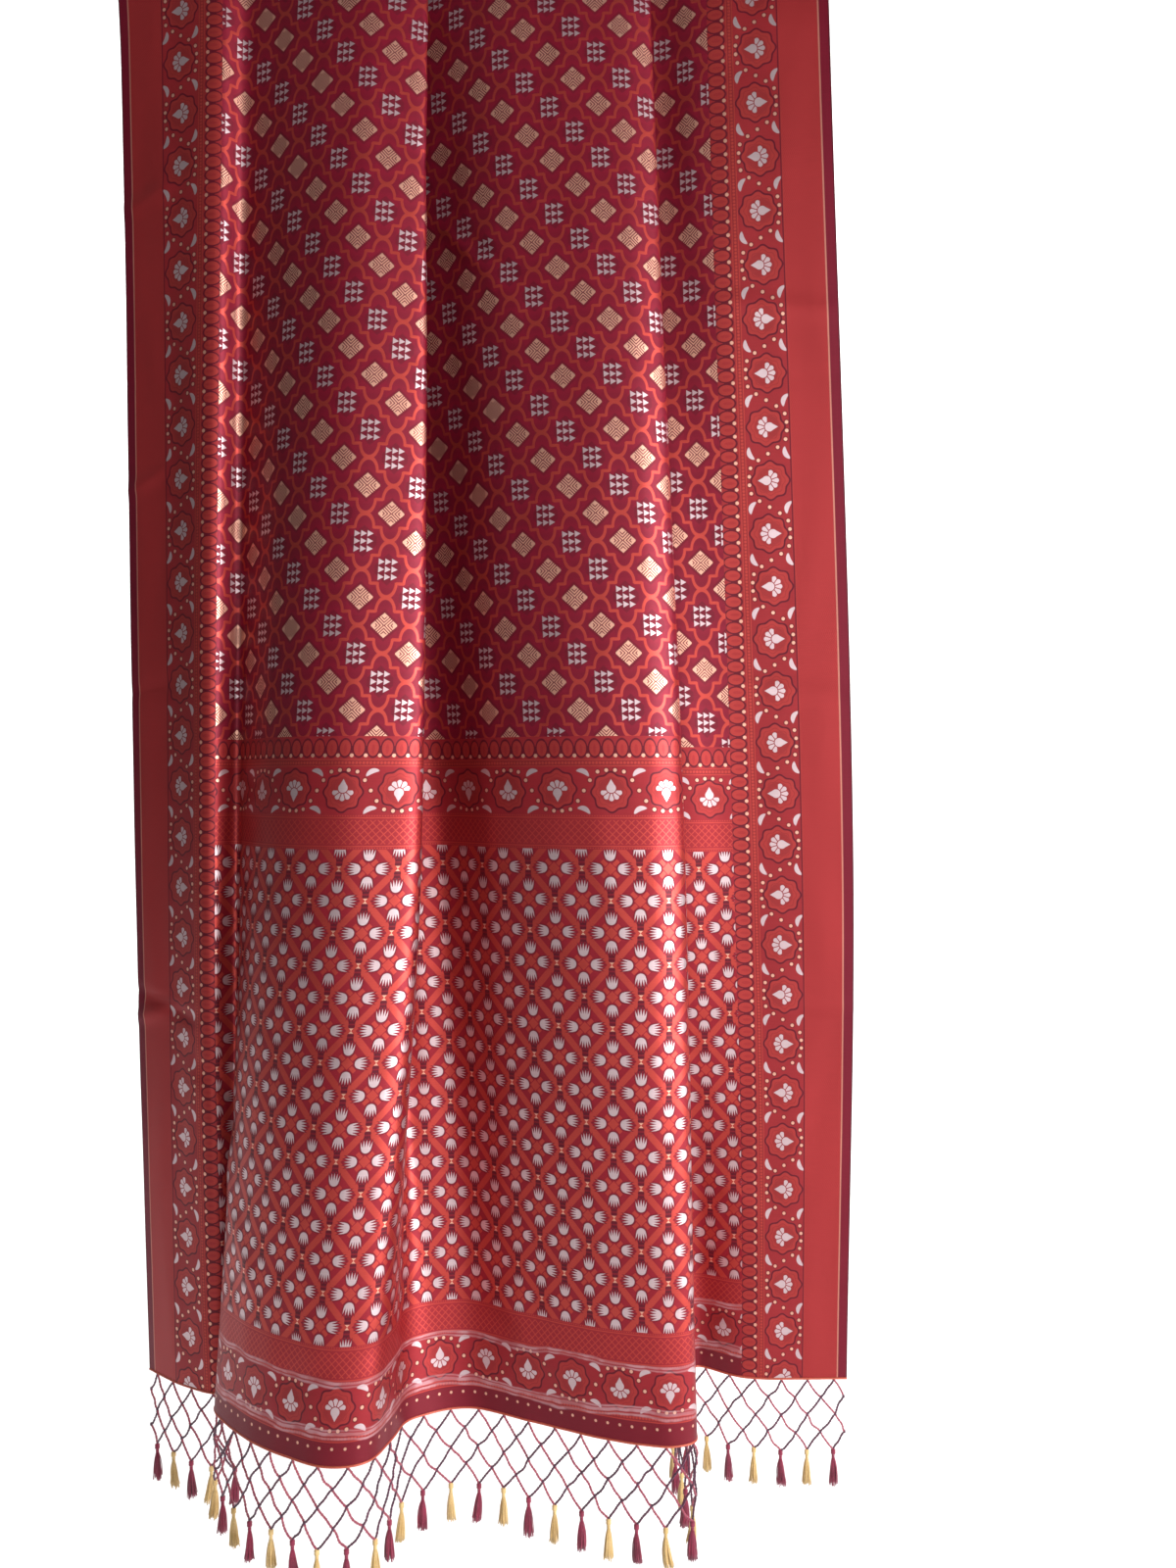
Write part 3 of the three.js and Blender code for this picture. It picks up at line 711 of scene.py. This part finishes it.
def pallu_figures(x, y):
    """x is the distance from the field's edge and y the distance from the middle of a cell's row."""
    ax, ay = x.fold(CELL[0]), y.fold(CELL[1])
    lozenge = ax / CELL[0] + ay / CELL[1]
    dropped = lozenge.above(0.5)
    cx = ax + dropped * (CELL[0] / 2 - 2 * ax)
    cy = ay + dropped * (CELL[1] / 2 - 2 * ay)
    beside = tulip(cx - TULIP_OUT[0], cy)
    upright = tulip(cy - TULIP_OUT[1], cx)
    nearest = beside.least(upright)
    silver = nearest.inside(0.6)
    halo = (nearest - 1.2).inside() * (1 - silver)
    lattice = (abs(lozenge - 0.5) * 39 - 3.1).inside()
    heart = (cx + cy - 5.5).inside()
    heart_line = (abs(cx + cy - 6.1) - 0.5).inside()
    cross = (abs(cx - cy) - 2.6).inside() * (cx + cy - 15).inside() * (1 - heart_line)
    post = (cx - 3.1).inside() * (cy - 18.5).above(0)
    bars = post * (cy.fold(3.6) - 1.1).inside()
    middle_square = (cx.most(CELL[1] / 2 - cy) - 2.3).inside()
    copper = lattice.most(cross).most(heart) * (1 - post) * (1 - halo) * (1 - silver)
    dark = halo * 0.7 + post * 0.35 + bars * 0.6
    return Threads(dark=dark, copper=copper * 0.8, peach=middle_square, silver=silver)


# %% [markdown]
# The zones: both long edges have a dark selvage, a plain copper twill band, the flower band, a rope
# and the paisleys. In the end piece, the heading and the end border run across between them.

# %% Zones of the cloth
BORDER = 118.0
SELVAGE = 10.0
TWILL_END = 48.5
FLOWER = (51.0, 93.0)
ROPE_WIDTH = 7.0
HEADING = (548.0, 580.0, 624.0, 631.0, 652.0)
END_BORDER = (20.0, 27.0, 71.0, 104.0)


def side_border(b, v):
    """b is the distance from the cloth's nearer long edge."""
    line = b.between(SELVAGE, SELVAGE + 1.5)
    twill = b.between(SELVAGE + 1.5, TWILL_END)
    herringbone = ((b + v * 0.6 + (v * 0.35).sin() * 0.8).fold(1.9) - 0.42).inside(0.4)
    edge = b.between(TWILL_END, TWILL_END + 1.2)
    selvage = (b - SELVAGE).inside() * 0.45 + (b - 1.6).inside() * 0.5
    plain = Threads(
        dark=selvage + b.between(TWILL_END + 1.2, FLOWER[0]) * 0.8,
        copper=twill * (0.12 + herringbone * 0.2) + edge * 0.4,
        peach=line * 0.45,
    )
    flowers = flower_band(b - sum(FLOWER) / 2, v).within(b.between(*FLOWER))
    rope = rope_band(b - FLOWER[1], v).within(b.between(FLOWER[1], FLOWER[1] + ROPE_WIDTH))
    paisleys = paisley_band(b - FLOWER[1] - ROPE_WIDTH, v).within(b.between(FLOWER[1] + ROPE_WIDTH, BORDER))
    return plain + flowers + rope + paisleys


def heading(u, v):
    """The band where the end piece begins, from its field up."""
    low, diaper, flower, rope, top = HEADING
    bands = diaper_band(v - low, u, diaper - low).within(v.between(low, diaper))
    bands += flower_band(v - (diaper + flower) / 2, u).within(v.between(diaper, flower))
    bands += rope_band(v - flower, u).within(v.between(flower, rope))
    return bands + paisley_band(v - rope, u).within(v.between(rope, top))


def end_border(u, v):
    """The band above the hem: a row of dots, a rope, flowers and the diaper."""
    dots_end, rope_end, flower_end, top = END_BORDER
    dots = (length(v - 14.5, u.wrap(PAISLEY_PITCH)) - 1.4).inside()
    feet = Threads(dark=v.between(0, dots_end) * 0.55, peach=dots)
    rope = rope_band(v - dots_end, u).within(v.between(dots_end, rope_end))
    flowers = flower_band(v - (rope_end + flower_end) / 2, u).within(v.between(rope_end, flower_end))
    diaper = diaper_band(v - flower_end, u, top - flower_end).within(v.between(flower_end, top))
    return feet + rope + flowers + diaper


# %% [markdown]
# Every thread kind has its own colour and gloss. The red silk is a satin, so it is glossy too, and
# the metal threads are a real metal. A fine weave and the raised figures go into the bump.

# %% Worn streaks
STREAKS = ((22.0, 1.1), (26.5, 1.6), (30.0, 0.8), (70.0, 0.9), (73.5, 1.3))


def worn_streaks(graph, place, v):
    """Pale wavy lines near the hem, where the metal threads are rubbed and pulled out of line."""
    slow = graph.noise(place, 9.0)
    quick = graph.noise(place, 42.0)
    bent = v + (slow - 0.5) * 22 + (quick - 0.5) * 5
    lines = None
    for centre, half in STREAKS:
        line = (abs(bent - centre) - half).inside(1.2)
        lines = line if lines is None else lines.most(line)
    patches = ((quick - 0.46) * 9).most(0.0).least(1.0)
    return lines * (0.35 + patches * 0.4)


# %% Brocade materials
BODY_GROUND = linear(128, 14, 40)
PALLU_GROUND = linear(140, 22, 38)
BAND_GROUND = linear(138, 26, 38)
TWILL_GROUND = linear(146, 32, 40)
DARK_SILK = linear(86, 10, 30)
COPPER = linear(188, 72, 62)
PEACH = linear(222, 168, 146)
SILVER = linear(204, 180, 184)
WORN = linear(196, 150, 156)
THREAD_PITCH = 0.55


def brocade(name, is_pallu):
    graph = Graph(name)
    place = graph.node("ShaderNodeUVMap", {"uv_map": "Cloth"}).outputs[0]
    parts = graph.node("ShaderNodeSeparateXYZ", inputs={0: place}).outputs
    u, v = (Field(graph, parts[i]) * (1 / MM) for i in (0, 1))
    b = u.fold(CLOTH_WIDTH)
    in_field = (BORDER - b).inside()
    cloth = side_border(b, v)
    ground = graph.mix(b.between(SELVAGE, BORDER), BODY_GROUND, BAND_GROUND)
    ground = graph.mix(b.between(SELVAGE, TWILL_END), ground, TWILL_GROUND)
    if is_pallu:
        field = v.between(END_BORDER[-1], HEADING[0])
        cloth = cloth + pallu_figures(u - BORDER - 1, v - CELL_FROM_HEM).within(field * in_field)
        cloth = cloth + heading(u, v).within(in_field) + end_border(u, v).within(in_field)
        ground = graph.mix(in_field, ground, PALLU_GROUND)
        worn = worn_streaks(graph, place, v) * in_field * v.between(15, 78)
    else:
        cloth = cloth + body_figures(u - BORDER, v).within(in_field)
    dark, copper, peach, silver = (cloth.kinds[k] for k in Threads.KINDS)

    slub = graph.node("ShaderNodeCombineXYZ", inputs={0: u * 0.05, 1: v * 0.9}).outputs[0]
    weft = graph.noise(slub, 1.0)
    broad = graph.noise(place, 7.0, 3)
    tone = (weft - 0.5) * 0.5 + (broad - 0.5) * 0.5
    colour = graph.mix(dark.least(1.0), ground, DARK_SILK)
    colour = graph.mix(copper, colour, COPPER)
    colour = graph.mix(peach, colour, PEACH)
    colour = graph.mix(silver, colour, SILVER)
    if is_pallu:
        colour = graph.mix(worn, colour, WORN)
    varied = graph.node("ShaderNodeHueSaturation", inputs={"Value": 1 + tone * 0.35, "Color": colour})
    metal = copper + peach + silver

    warp = (u * (2 * math.pi / THREAD_PITCH)).sin()
    weave = warp * (v * (2 * math.pi / THREAD_PITCH)).sin() * 0.12 + (weft - 0.5) * 0.9
    height = weave + metal.least(1.0) * 0.5
    graph.set(
        Base_Color=varied.outputs[0],
        Metallic=metal.least(1.0) * 0.4 + 0.42,
        Roughness=0.48 - metal.least(1.0) * 0.08 + tone * 0.1,
        Normal=graph.bump(height, 0.6, 0.12 * MM),
        Specular_IOR_Level=0.4,
    )
    print(name, len(graph.tree.nodes), "nodes")
    return graph.material


body_cloth = brocade("body_brocade", False)
pallu_cloth = brocade("pallu_brocade", True)

# %% Cloth pieces
INNER_FOLDS_ACROSS = (455, 878)
cuts = [0, *(int(np.argmin(abs(across - c))) for c in INNER_FOLDS_ACROSS), COLUMNS - 1]
SIDES = ("left", "middle", "right")
HEM, HEADING_ROW, ROD_FRONT, ROD_BACK, BACK_FOOT = ROW_MARKS
STRETCHES = (
    # name, first and last row, finish, node
    ("body", (HEADING_ROW, ROD_FRONT), body_cloth, "body_front"),
    ("pallu", (HEM, HEADING_ROW), pallu_cloth, "pallu"),
    ("back", (ROD_BACK, BACK_FOOT), body_cloth, "body_back"),
)
made_cloth = []
for i, side in enumerate(SIDES):
    columns = (cuts[i], cuts[i + 1])
    for stretch, rows, finish, node in STRETCHES:
        made_cloth.append((*cloth_piece(f"{stretch}_{side}", rows, columns, finish), node))
whole = (0, COLUMNS - 1)
made_cloth.append((*cloth_piece("over_rod", (ROD_FRONT, ROD_BACK), whole, body_cloth), "body_over_rod"))

# %% [markdown]
# The rest of the cloth is folded once and laid over the rod under the outer layer. Only its edges
# could ever show, so it is one soft form with a groove between its two layers.

# %% Spare length
SPARE_LEFT, SPARE_RIGHT = -352.0, 300.0
SPARE_FRONT_DROP = 150.0
SPARE_SINGLE = 2.0
GROOVE = 6.0
SPARE_COLUMNS = 60
SPARE_EDGE_STEPS = 7
SPARE_FRONT_ROWS = 24
SPARE_BACK_ROWS = 60
SPARE_ABOVE_HEM = 8.0
OUTER_LENGTH = FRONT_DROP + math.pi * UNDER + BACK_DROP
CLOTH_LENGTH = 5500.0
FIRST_LAYER = BACK_DROP + math.pi * SPARE_RADIUS + SPARE_FRONT_DROP
SECOND_END = CLOTH_LENGTH - OUTER_LENGTH - FIRST_LAYER - SPARE_FRONT_DROP - math.pi * SPARE_RADIUS


def spare_ring(thick):
    """The outline across the folded cloth: x, and distance from its middle."""
    half = thick / 2
    xs = np.linspace(SPARE_LEFT, SPARE_RIGHT, SPARE_COLUMNS)[1:-1]
    low = np.column_stack([xs, np.full_like(xs, -half)])
    high = low[::-1] * (1, -1)
    turn = np.linspace(-90, 90, SPARE_EDGE_STEPS)
    groove = GROOVE if thick > SPARE_SINGLE else 0.2
    angles = np.radians(turn)
    inward = groove * np.clip(1 - abs(turn) / 25, 0, 1)
    edge = np.column_stack([half * np.cos(angles) - half - inward, half * np.sin(angles)])
    right = edge + (SPARE_RIGHT, 0)
    left = edge[::-1] * (-1, 1) + (SPARE_LEFT, 0)
    return np.vstack([low, right, high, left])


def spare_length():
    turns = np.linspace(0, math.pi, TURN_ROWS + 1)
    stages = [("front", SPARE_FRONT_DROP, 0.4), ("front", SPARE_FRONT_DROP - 0.8, 0.8)]
    stages += [("front", d, 1.0) for d in np.linspace(SPARE_FRONT_DROP - 3, 2, SPARE_FRONT_ROWS)]
    stages = [(side, level, SPARE_THICK * share) for side, level, share in stages]
    stages += [("over", t, SPARE_THICK) for t in turns]
    double = np.linspace(10, SECOND_END, SPARE_BACK_ROWS)
    single = np.linspace(SECOND_END + 12, BACK_DROP - SPARE_ABOVE_HEM, SPARE_BACK_ROWS)
    stages += [("back", d, SPARE_THICK) for d in double]
    stages += [("back", SECOND_END + 1.5, SPARE_SINGLE)]
    stages += [("back", d, SPARE_SINGLE) for d in single]
    rings, travelled = [], []
    for side, level, thick in stages:
        ring = spare_ring(thick)
        wave = 0.35 * np.sin(ring[:, 0] / 37) * (side == "back") * min(1, level / 200)
        points = np.column_stack([ring[:, 0], SPARE_RADIUS + ring[:, 1] + wave, np.zeros(len(ring))])
        rings.append(placed(side, level, points))
        start = {"front": SPARE_FRONT_DROP - level, "over": SPARE_FRONT_DROP + SPARE_RADIUS * level}
        back = SPARE_FRONT_DROP + math.pi * SPARE_RADIUS + level
        travelled.append(start.get(side, back))
    count, size = len(rings), len(rings[0])
    index = np.arange(count * size).reshape(count, size)
    right = np.roll(index, -1, axis=1)
    faces = np.stack([index[:-1], index[1:], right[1:], right[:-1]], -1).reshape(-1, 4).tolist()
    faces += [index[0].tolist(), index[-1][::-1].tolist()]
    made = new_object("spare_folded", (np.vstack(rings) * MM).tolist(), faces, body_cloth)
    x = np.concatenate([r[:, 0] for r in rings])
    v = np.repeat(travelled, size)
    flat = np.column_stack([(x - SPARE_LEFT) * CLOTH_WIDTH / (SPARE_RIGHT - SPARE_LEFT), v + 3000])
    add_map(made.data, "OFBake", unit_square(flat))
    add_map(made.data, "Cloth", flat * MM)
    return made, ((SPARE_RIGHT - SPARE_LEFT) * MM, travelled[-1] * MM)


spare, spare_size = spare_length()
print("spare length, flat", np.round(spare_size, 3))

# %% [markdown]
# The fringe is the warp's own thread ends. They are twisted into cords and knotted into a net in
# four rows, and every last knot carries a tassel. Each cord here is two plies wound round each
# other, along a line that sags a little between its knots.

# %% Tubes along many lines at once
OUTWARD = np.array([0.0, -1.0, 0.0])
SLOT_FILL = 0.8


def frames_along(lines):
    """Two directions across each line at each of its points."""
    tangent = np.gradient(lines, axis=1)
    tangent /= np.linalg.norm(tangent, axis=2, keepdims=True)
    first = np.cross(tangent, OUTWARD)
    first /= np.linalg.norm(first, axis=2, keepdims=True)
    return first, np.cross(tangent, first)


def tubes(lines, radius, sides):
    """Vertices, faces and map values of closed tubes along lines of shape (count, points, 3)."""
    first, second = frames_along(lines)
    count, points, _ = lines.shape
    radius = np.broadcast_to(radius, (count, points))[:, :, None, None]
    angle = np.arange(sides) / sides * 2 * math.pi
    ring = np.cos(angle)[:, None] * first[:, :, None, :] + np.sin(angle)[:, None] * second[:, :, None, :]
    vertices = (lines[:, :, None, :] + radius * ring).reshape(-1, 3)
    index = np.arange(len(vertices)).reshape(count, points, sides)
    right = np.roll(index, -1, axis=2)
    faces = np.stack([index[:, :-1], right[:, :-1], right[:, 1:], index[:, 1:]], -1).reshape(-1, 4).tolist()
    faces += index[:, 0, ::-1].tolist() + index[:, -1].tolist()
    v, u = np.meshgrid(np.linspace(0, 1, points), np.arange(sides) / sides, indexing="ij")
    slot = np.arange(count)[:, None, None] / count
    slot = np.broadcast_to(slot + u / count * SLOT_FILL, index.shape)
    map_values = np.stack([slot, np.broadcast_to(v, index.shape)], -1)
    return vertices, faces, map_values.reshape(-1, 2)


def join(parts):
    """Several (vertices, faces, map values) as one."""
    start, vertices, faces, maps = 0, [], [], []
    for v, f, m in parts:
        vertices.append(v)
        faces += [[i + start for i in face] for face in f]
        maps.append(m)
        start += len(v)
    return np.vstack(vertices), faces, np.vstack(maps)


def yarn_object(name, parts, material):
    vertices, faces, map_values = join(parts)
    made = new_object(name, (vertices * MM).tolist(), faces, material)
    add_map(made.data, "OFBake", np.clip(map_values, 0, 1))
    print(name, sum(len(f) - 2 for f in faces), "triangles")
    return made


# %% Knots of the net
TASSELS = 39
NET_ROWS = 4
NET_ROW_DROP = 18.0
NET_TOP = 2.6
END_INSET = 3.0
PITCH = CLOTH_WIDTH / TASSELS


def on_hem(s):
    """Points of the hem's middle line at these distances across the cloth."""
    return np.stack([np.interp(s, across, middle[0, :, k]) for k in range(3)], -1)


def knot_row(row):
    """Where the knots of a row are: across the cloth, and in space."""
    on_roots = row % 2 == 0
    s = (np.arange(TASSELS if on_roots else TASSELS + 1) + (0.5 if on_roots else 0)) * PITCH
    s = np.clip(s, END_INSET, CLOTH_WIDTH - END_INSET)
    at = on_hem(s)
    at[:, 2] -= NET_TOP + row * NET_ROW_DROP
    if row:
        at += rng.normal(0, (0.7, 0.5, 0.9), at.shape)
    return at


knots = [knot_row(row) for row in range(NET_ROWS + 1)]
print("knots in each row", [len(k) for k in knots])

# %% Cords of the net
CORD_POINTS = 15
PLY_RADIUS = 0.74
PLY_OFFSET = 0.62
TWISTS = 4.5
YARN_ROUGHNESS = 0.62


def cord_lines(starts, ends, seed_turn):
    """Slightly sagging lines from knot to knot, and the helix of each ply round them."""
    t = np.linspace(0, 1, CORD_POINTS)[None, :, None]
    starts, ends = np.asarray(starts)[:, None, :], np.asarray(ends)[:, None, :]
    lines = starts + (ends - starts) * t
    bend = rng.normal(0, 0.8, (len(lines), 1, 3)) * np.sin(math.pi * t)
    wobble = rng.normal(0, 0.25, (len(lines), 1, 3)) * np.sin(3 * math.pi * t)
    lines = lines + bend + wobble
    lines[:, :, 2] -= 1.2 * np.sin(math.pi * t[:, :, 0])
    first, second = frames_along(lines)
    turn = (2 * math.pi * TWISTS * t[:, :, 0] + seed_turn)[:, :, None]
    offset = PLY_OFFSET * (np.cos(turn) * first + np.sin(turn) * second)
    return lines + offset, lines - offset


def net_strands(rightward):
    """Start and end of every cord that goes down to the right, or to the left."""
    starts, ends = [], []
    for row in range(NET_ROWS):
        shift = 0 if row % 2 == 0 else -1
        for k, at in enumerate(knots[row]):
            below = k + shift + (1 if rightward else 0)
            if 0 <= below < len(knots[row + 1]):
                starts.append(at)
                ends.append(knots[row + 1][below])
    return starts, ends


def yarn(name, colour, second):
    """Twisted thread: two close colours in fine turns."""
    graph = Graph(name)
    place = graph.node("ShaderNodeTexCoord").outputs["Object"]
    grain = graph.noise(place, 900.0)
    patch = graph.noise(place, 60.0, 1)
    amount = (grain - 0.5) * 1.4 + (patch - 0.5) * 1.6 + 0.5
    mask = amount.least(1.0).most(0.0)
    normal = graph.bump(grain, 0.5, 0.2 * MM)
    graph.set(Base_Color=graph.mix(mask, colour, second), Roughness=YARN_ROUGHNESS, Normal=normal)
    graph.set(Sheen_Weight=0.25)
    return graph.material


plum_yarn = yarn("plum_yarn", linear(58, 22, 48), linear(92, 30, 62))
rose_yarn = yarn("rose_yarn", linear(134, 34, 66), linear(168, 78, 92))
maroon_yarn = yarn("maroon_yarn", linear(110, 14, 48), linear(150, 26, 66))
gold_yarn = yarn("gold_yarn", linear(196, 158, 92), linear(226, 196, 138))

net_pieces = []
for name, rightward, material in (("net_left", False, plum_yarn), ("net_right", True, rose_yarn)):
    lines = np.concatenate(cord_lines(*net_strands(rightward), 0.7 * rightward))
    net_pieces.append(yarn_object(name, [tubes(lines, PLY_RADIUS, 5)], material))


# %% Knots
def beads(centres, radii, turns=8, rings=6):
    """Small rounded knots: spheres with a slight waist of thread round them."""
    angle = np.linspace(0, math.pi, rings + 1)
    heights = np.cos(angle)
    widths = np.maximum(np.sin(angle), 0.02) * (1 + 0.12 * np.cos(angle * 6))
    lines = centres[:, None, :] + np.array([0, 0, 1.0]) * heights[None, :, None] * radii[2]
    return tubes(lines, widths[None, :] * radii[0], turns)


inner_knots = np.vstack(knots[1:NET_ROWS])
net_pieces.append(yarn_object("net_knots", [beads(inner_knots, (1.5, 1.5, 1.9))], plum_yarn))

# %% Tassels
TASSEL_LENGTH = 37.0
THREADS_IN_TASSEL = 74
THREAD_POINTS = 6
THREAD_RADIUS = 0.4
SKIRT_RADIUS = 4.9
HEAD_RADIUS = 2.6


def tassel(at):
    """A wrapped head below the knot, and a bundle of threads that opens downwards."""
    head = beads((at - (0, 0, 2.6))[None, :], (HEAD_RADIUS, HEAD_RADIUS, 3.6), 10, 10)
    neck = beads((at - (0, 0, 7.2))[None, :], (1.75, 1.75, 2.2), 10, 8)
    t = np.linspace(0, 1, THREAD_POINTS)[None, :]
    angle = rng.uniform(0, 2 * math.pi, (THREADS_IN_TASSEL, 1))
    spread = np.sqrt(rng.uniform(0.05, 1, (THREADS_IN_TASSEL, 1))) * SKIRT_RADIUS
    radius = 1.0 + (spread - 1.0) * t**0.7
    lean = rng.normal(0, 1.1, 2)
    bow = rng.normal(0, 0.5, (THREADS_IN_TASSEL, 1)) * np.sin(math.pi * t)
    x = np.cos(angle) * radius + lean[0] * t**2 + bow
    y = np.sin(angle) * radius + lean[1] * t**2
    reach = (TASSEL_LENGTH - 8.5) * rng.uniform(0.86, 1.0, (THREADS_IN_TASSEL, 1))
    lines = np.stack([x, y, -8.0 - reach * t], -1) + at
    return [head, neck, tubes(lines, THREAD_RADIUS, 4)]


for name, start, material in (("tassels_maroon", 0, maroon_yarn), ("tassels_gold", 1, gold_yarn)):
    parts = [part for at in knots[NET_ROWS][start::2] for part in tassel(at)]
    net_pieces.append(yarn_object(name, parts, material))

# %% [markdown]
# The hem is rolled: a thin copper-coloured roll of cloth along the lower edge, where the cords start.

# %% Hem roll
HEM_POINTS = 420
HEM_ROLL_RADIUS = 1.15
HEM_ROLL_DROP = 1.2


def rolled_hem():
    s = np.linspace(0, CLOTH_WIDTH, HEM_POINTS)
    at = on_hem(s)
    at[:, 2] -= HEM_ROLL_DROP
    graph = Graph("hem_copper")
    place = graph.node("ShaderNodeTexCoord").outputs["Object"]
    grain = graph.noise(place, 700.0)
    colour = graph.mix(grain, linear(170, 62, 52), linear(206, 110, 84))
    graph.set(Base_Color=colour, Roughness=0.42, Metallic=0.3, Normal=graph.bump(grain, 0.6, 0.2 * MM))
    return yarn_object("hem_roll", [tubes(at[None], HEM_ROLL_RADIUS, 8)], graph.material)


net_pieces.append(rolled_hem())

# %% [markdown]
# The rod is plain turned wood with a satin varnish. Its grain is long streaks along X with a few
# darker veins, and the ends show the softened edge.

# %% Rod
ROD_LENGTH = 960.0
ROD_CHAMFER = 4.0
ROD_SIDES = 64
ROD_STEPS = 38
ROD_END_FACE = 0.02
ROD_END_RADIUS = 0.5


def rod():
    half = ROD_LENGTH / 2
    edge = np.radians(np.linspace(0, 90, 6))
    in_from_end = ROD_END_FACE + ROD_CHAMFER * (1 - np.cos(edge))
    edge_radius = ROD_RADIUS - ROD_CHAMFER * (1 - np.sin(edge))
    straight = np.linspace(-half, half, ROD_STEPS + 2)[1:-1]
    run = np.r_[-half, in_from_end - half, straight, half - in_from_end[::-1], half]
    radius = np.r_[edge_radius, np.full(ROD_STEPS, ROD_RADIUS), edge_radius[::-1]]
    radius = np.r_[ROD_END_RADIUS, radius, ROD_END_RADIUS]
    line = np.column_stack([run, np.zeros_like(run), np.zeros_like(run)])
    graph = Graph("rod_wood")
    place = graph.node("ShaderNodeTexCoord").outputs["Object"]
    long = graph.node("ShaderNodeMapping", inputs={"Vector": place, "Scale": (3, 60, 60)}).outputs[0]
    waves = {"Vector": long, "Distortion": 6.0, "Scale": 0.9}
    veins = Field(graph, graph.node("ShaderNodeTexWave", {"bands_direction": "Y"}, waves).outputs[1])
    amount = graph.noise(long, 4.0, 6) * 0.7 + veins * 0.3
    colour = graph.mix(amount, linear(118, 78, 46), linear(186, 142, 96))
    graph.set(Base_Color=colour, Roughness=0.42 + amount * 0.15, Normal=graph.bump(amount, 0.3, 0.3 * MM))
    graph.set(Coat_Weight=0.25, Coat_Roughness=0.3)
    vertices, faces, map_values = tubes(line[None], radius[None], ROD_SIDES)
    made = new_object("rod_turned", (vertices * MM).tolist(), faces, graph.material)
    add_map(made.data, "OFBake", map_values / (SLOT_FILL, 1))
    return made


turned_rod = rod()
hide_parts("rod")
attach(turned_rod, "root")

# %% Hide the solids that the pieces replace, and attach every piece to the root
for made, size, node in made_cloth:
    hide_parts(node)
    "pallu_cloth" if node == "pallu" else "body_cloth"
    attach(made, "root")
    node == "pallu"
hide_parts("spare_length")
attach(spare, "root")
for made in net_pieces:
    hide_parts("fringe")
    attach(made, "root")

# %% [markdown]
# A plain pale floor that curves up into a backdrop. The main light is tall and soft and stands at
# the front right, so every fold that faces it has a bright band and its other side stays dark.

# %% Floor and backdrop
FLOOR_Z = -1.86
FLOOR_FRONT_Y = -5.0
BACKDROP_Y = 2.4
BACKDROP_TOP = 4.5
STUDIO_HALF_WIDTH = 7.0
SWEEP = 0.9


def studio():
    turn = np.radians(np.linspace(0, 90, 16))
    back = BACKDROP_Y - SWEEP + SWEEP * np.sin(turn)
    up = FLOOR_Z + SWEEP * (1 - np.cos(turn))
    curve = np.column_stack([back, up])
    profile = np.vstack([[FLOOR_FRONT_Y, FLOOR_Z], curve, [BACKDROP_Y, BACKDROP_TOP]])
    vertices = [(x, y, z) for x in (-STUDIO_HALF_WIDTH, STUDIO_HALF_WIDTH) for y, z in profile]
    n = len(profile)
    faces = [(i, i + n, i + n + 1, i + 1) for i in range(n - 1)]
    graph = Graph("studio_white")
    place = graph.node("ShaderNodeTexCoord").outputs["Object"]
    cloudy = graph.mix(graph.noise(place, 0.8), (0.86, 0.86, 0.86, 1), (0.9, 0.9, 0.9, 1))
    graph.set(Base_Color=cloudy, Roughness=0.9)
    made = new_object("studio_floor", vertices, faces, graph.material)


studio()


# %% Lights
def area_light(name, at, aim, size, power, colour=(1, 1, 1)):
    data = bpy.data.lights.new(name, "AREA")
    data.shape = "RECTANGLE"
    data.size, data.size_y = size
    data.energy = power
    data.color = colour
    made = bpy.data.objects.new(name, data)
    made.location = at
    made.rotation_euler = (Vector(aim) - Vector(at)).to_track_quat("-Z", "Y").to_euler()
    bpy.context.scene.collection.objects.link(made)


area_light("key", (2.5, -2.05, -0.8), (0.05, 0.0, -1.0), (0.9, 2.4), 150)
area_light("fill", (0.2, -3.2, -0.7), (0.0, 0.0, -1.0), (1.6, 1.6), 22)
area_light("backdrop_light", (0, 0.9, 0.9), (0, 2.4, -0.9), (4.5, 1.2), 120)

world = bpy.data.worlds.new("world")
world.use_nodes = True
world.node_tree.nodes["Background"].inputs["Color"].default_value = (1, 1, 1, 1)
world.node_tree.nodes["Background"].inputs["Strength"].default_value = 0.1
bpy.context.scene.world = world
bpy.context.scene.view_settings.view_transform = "Standard"
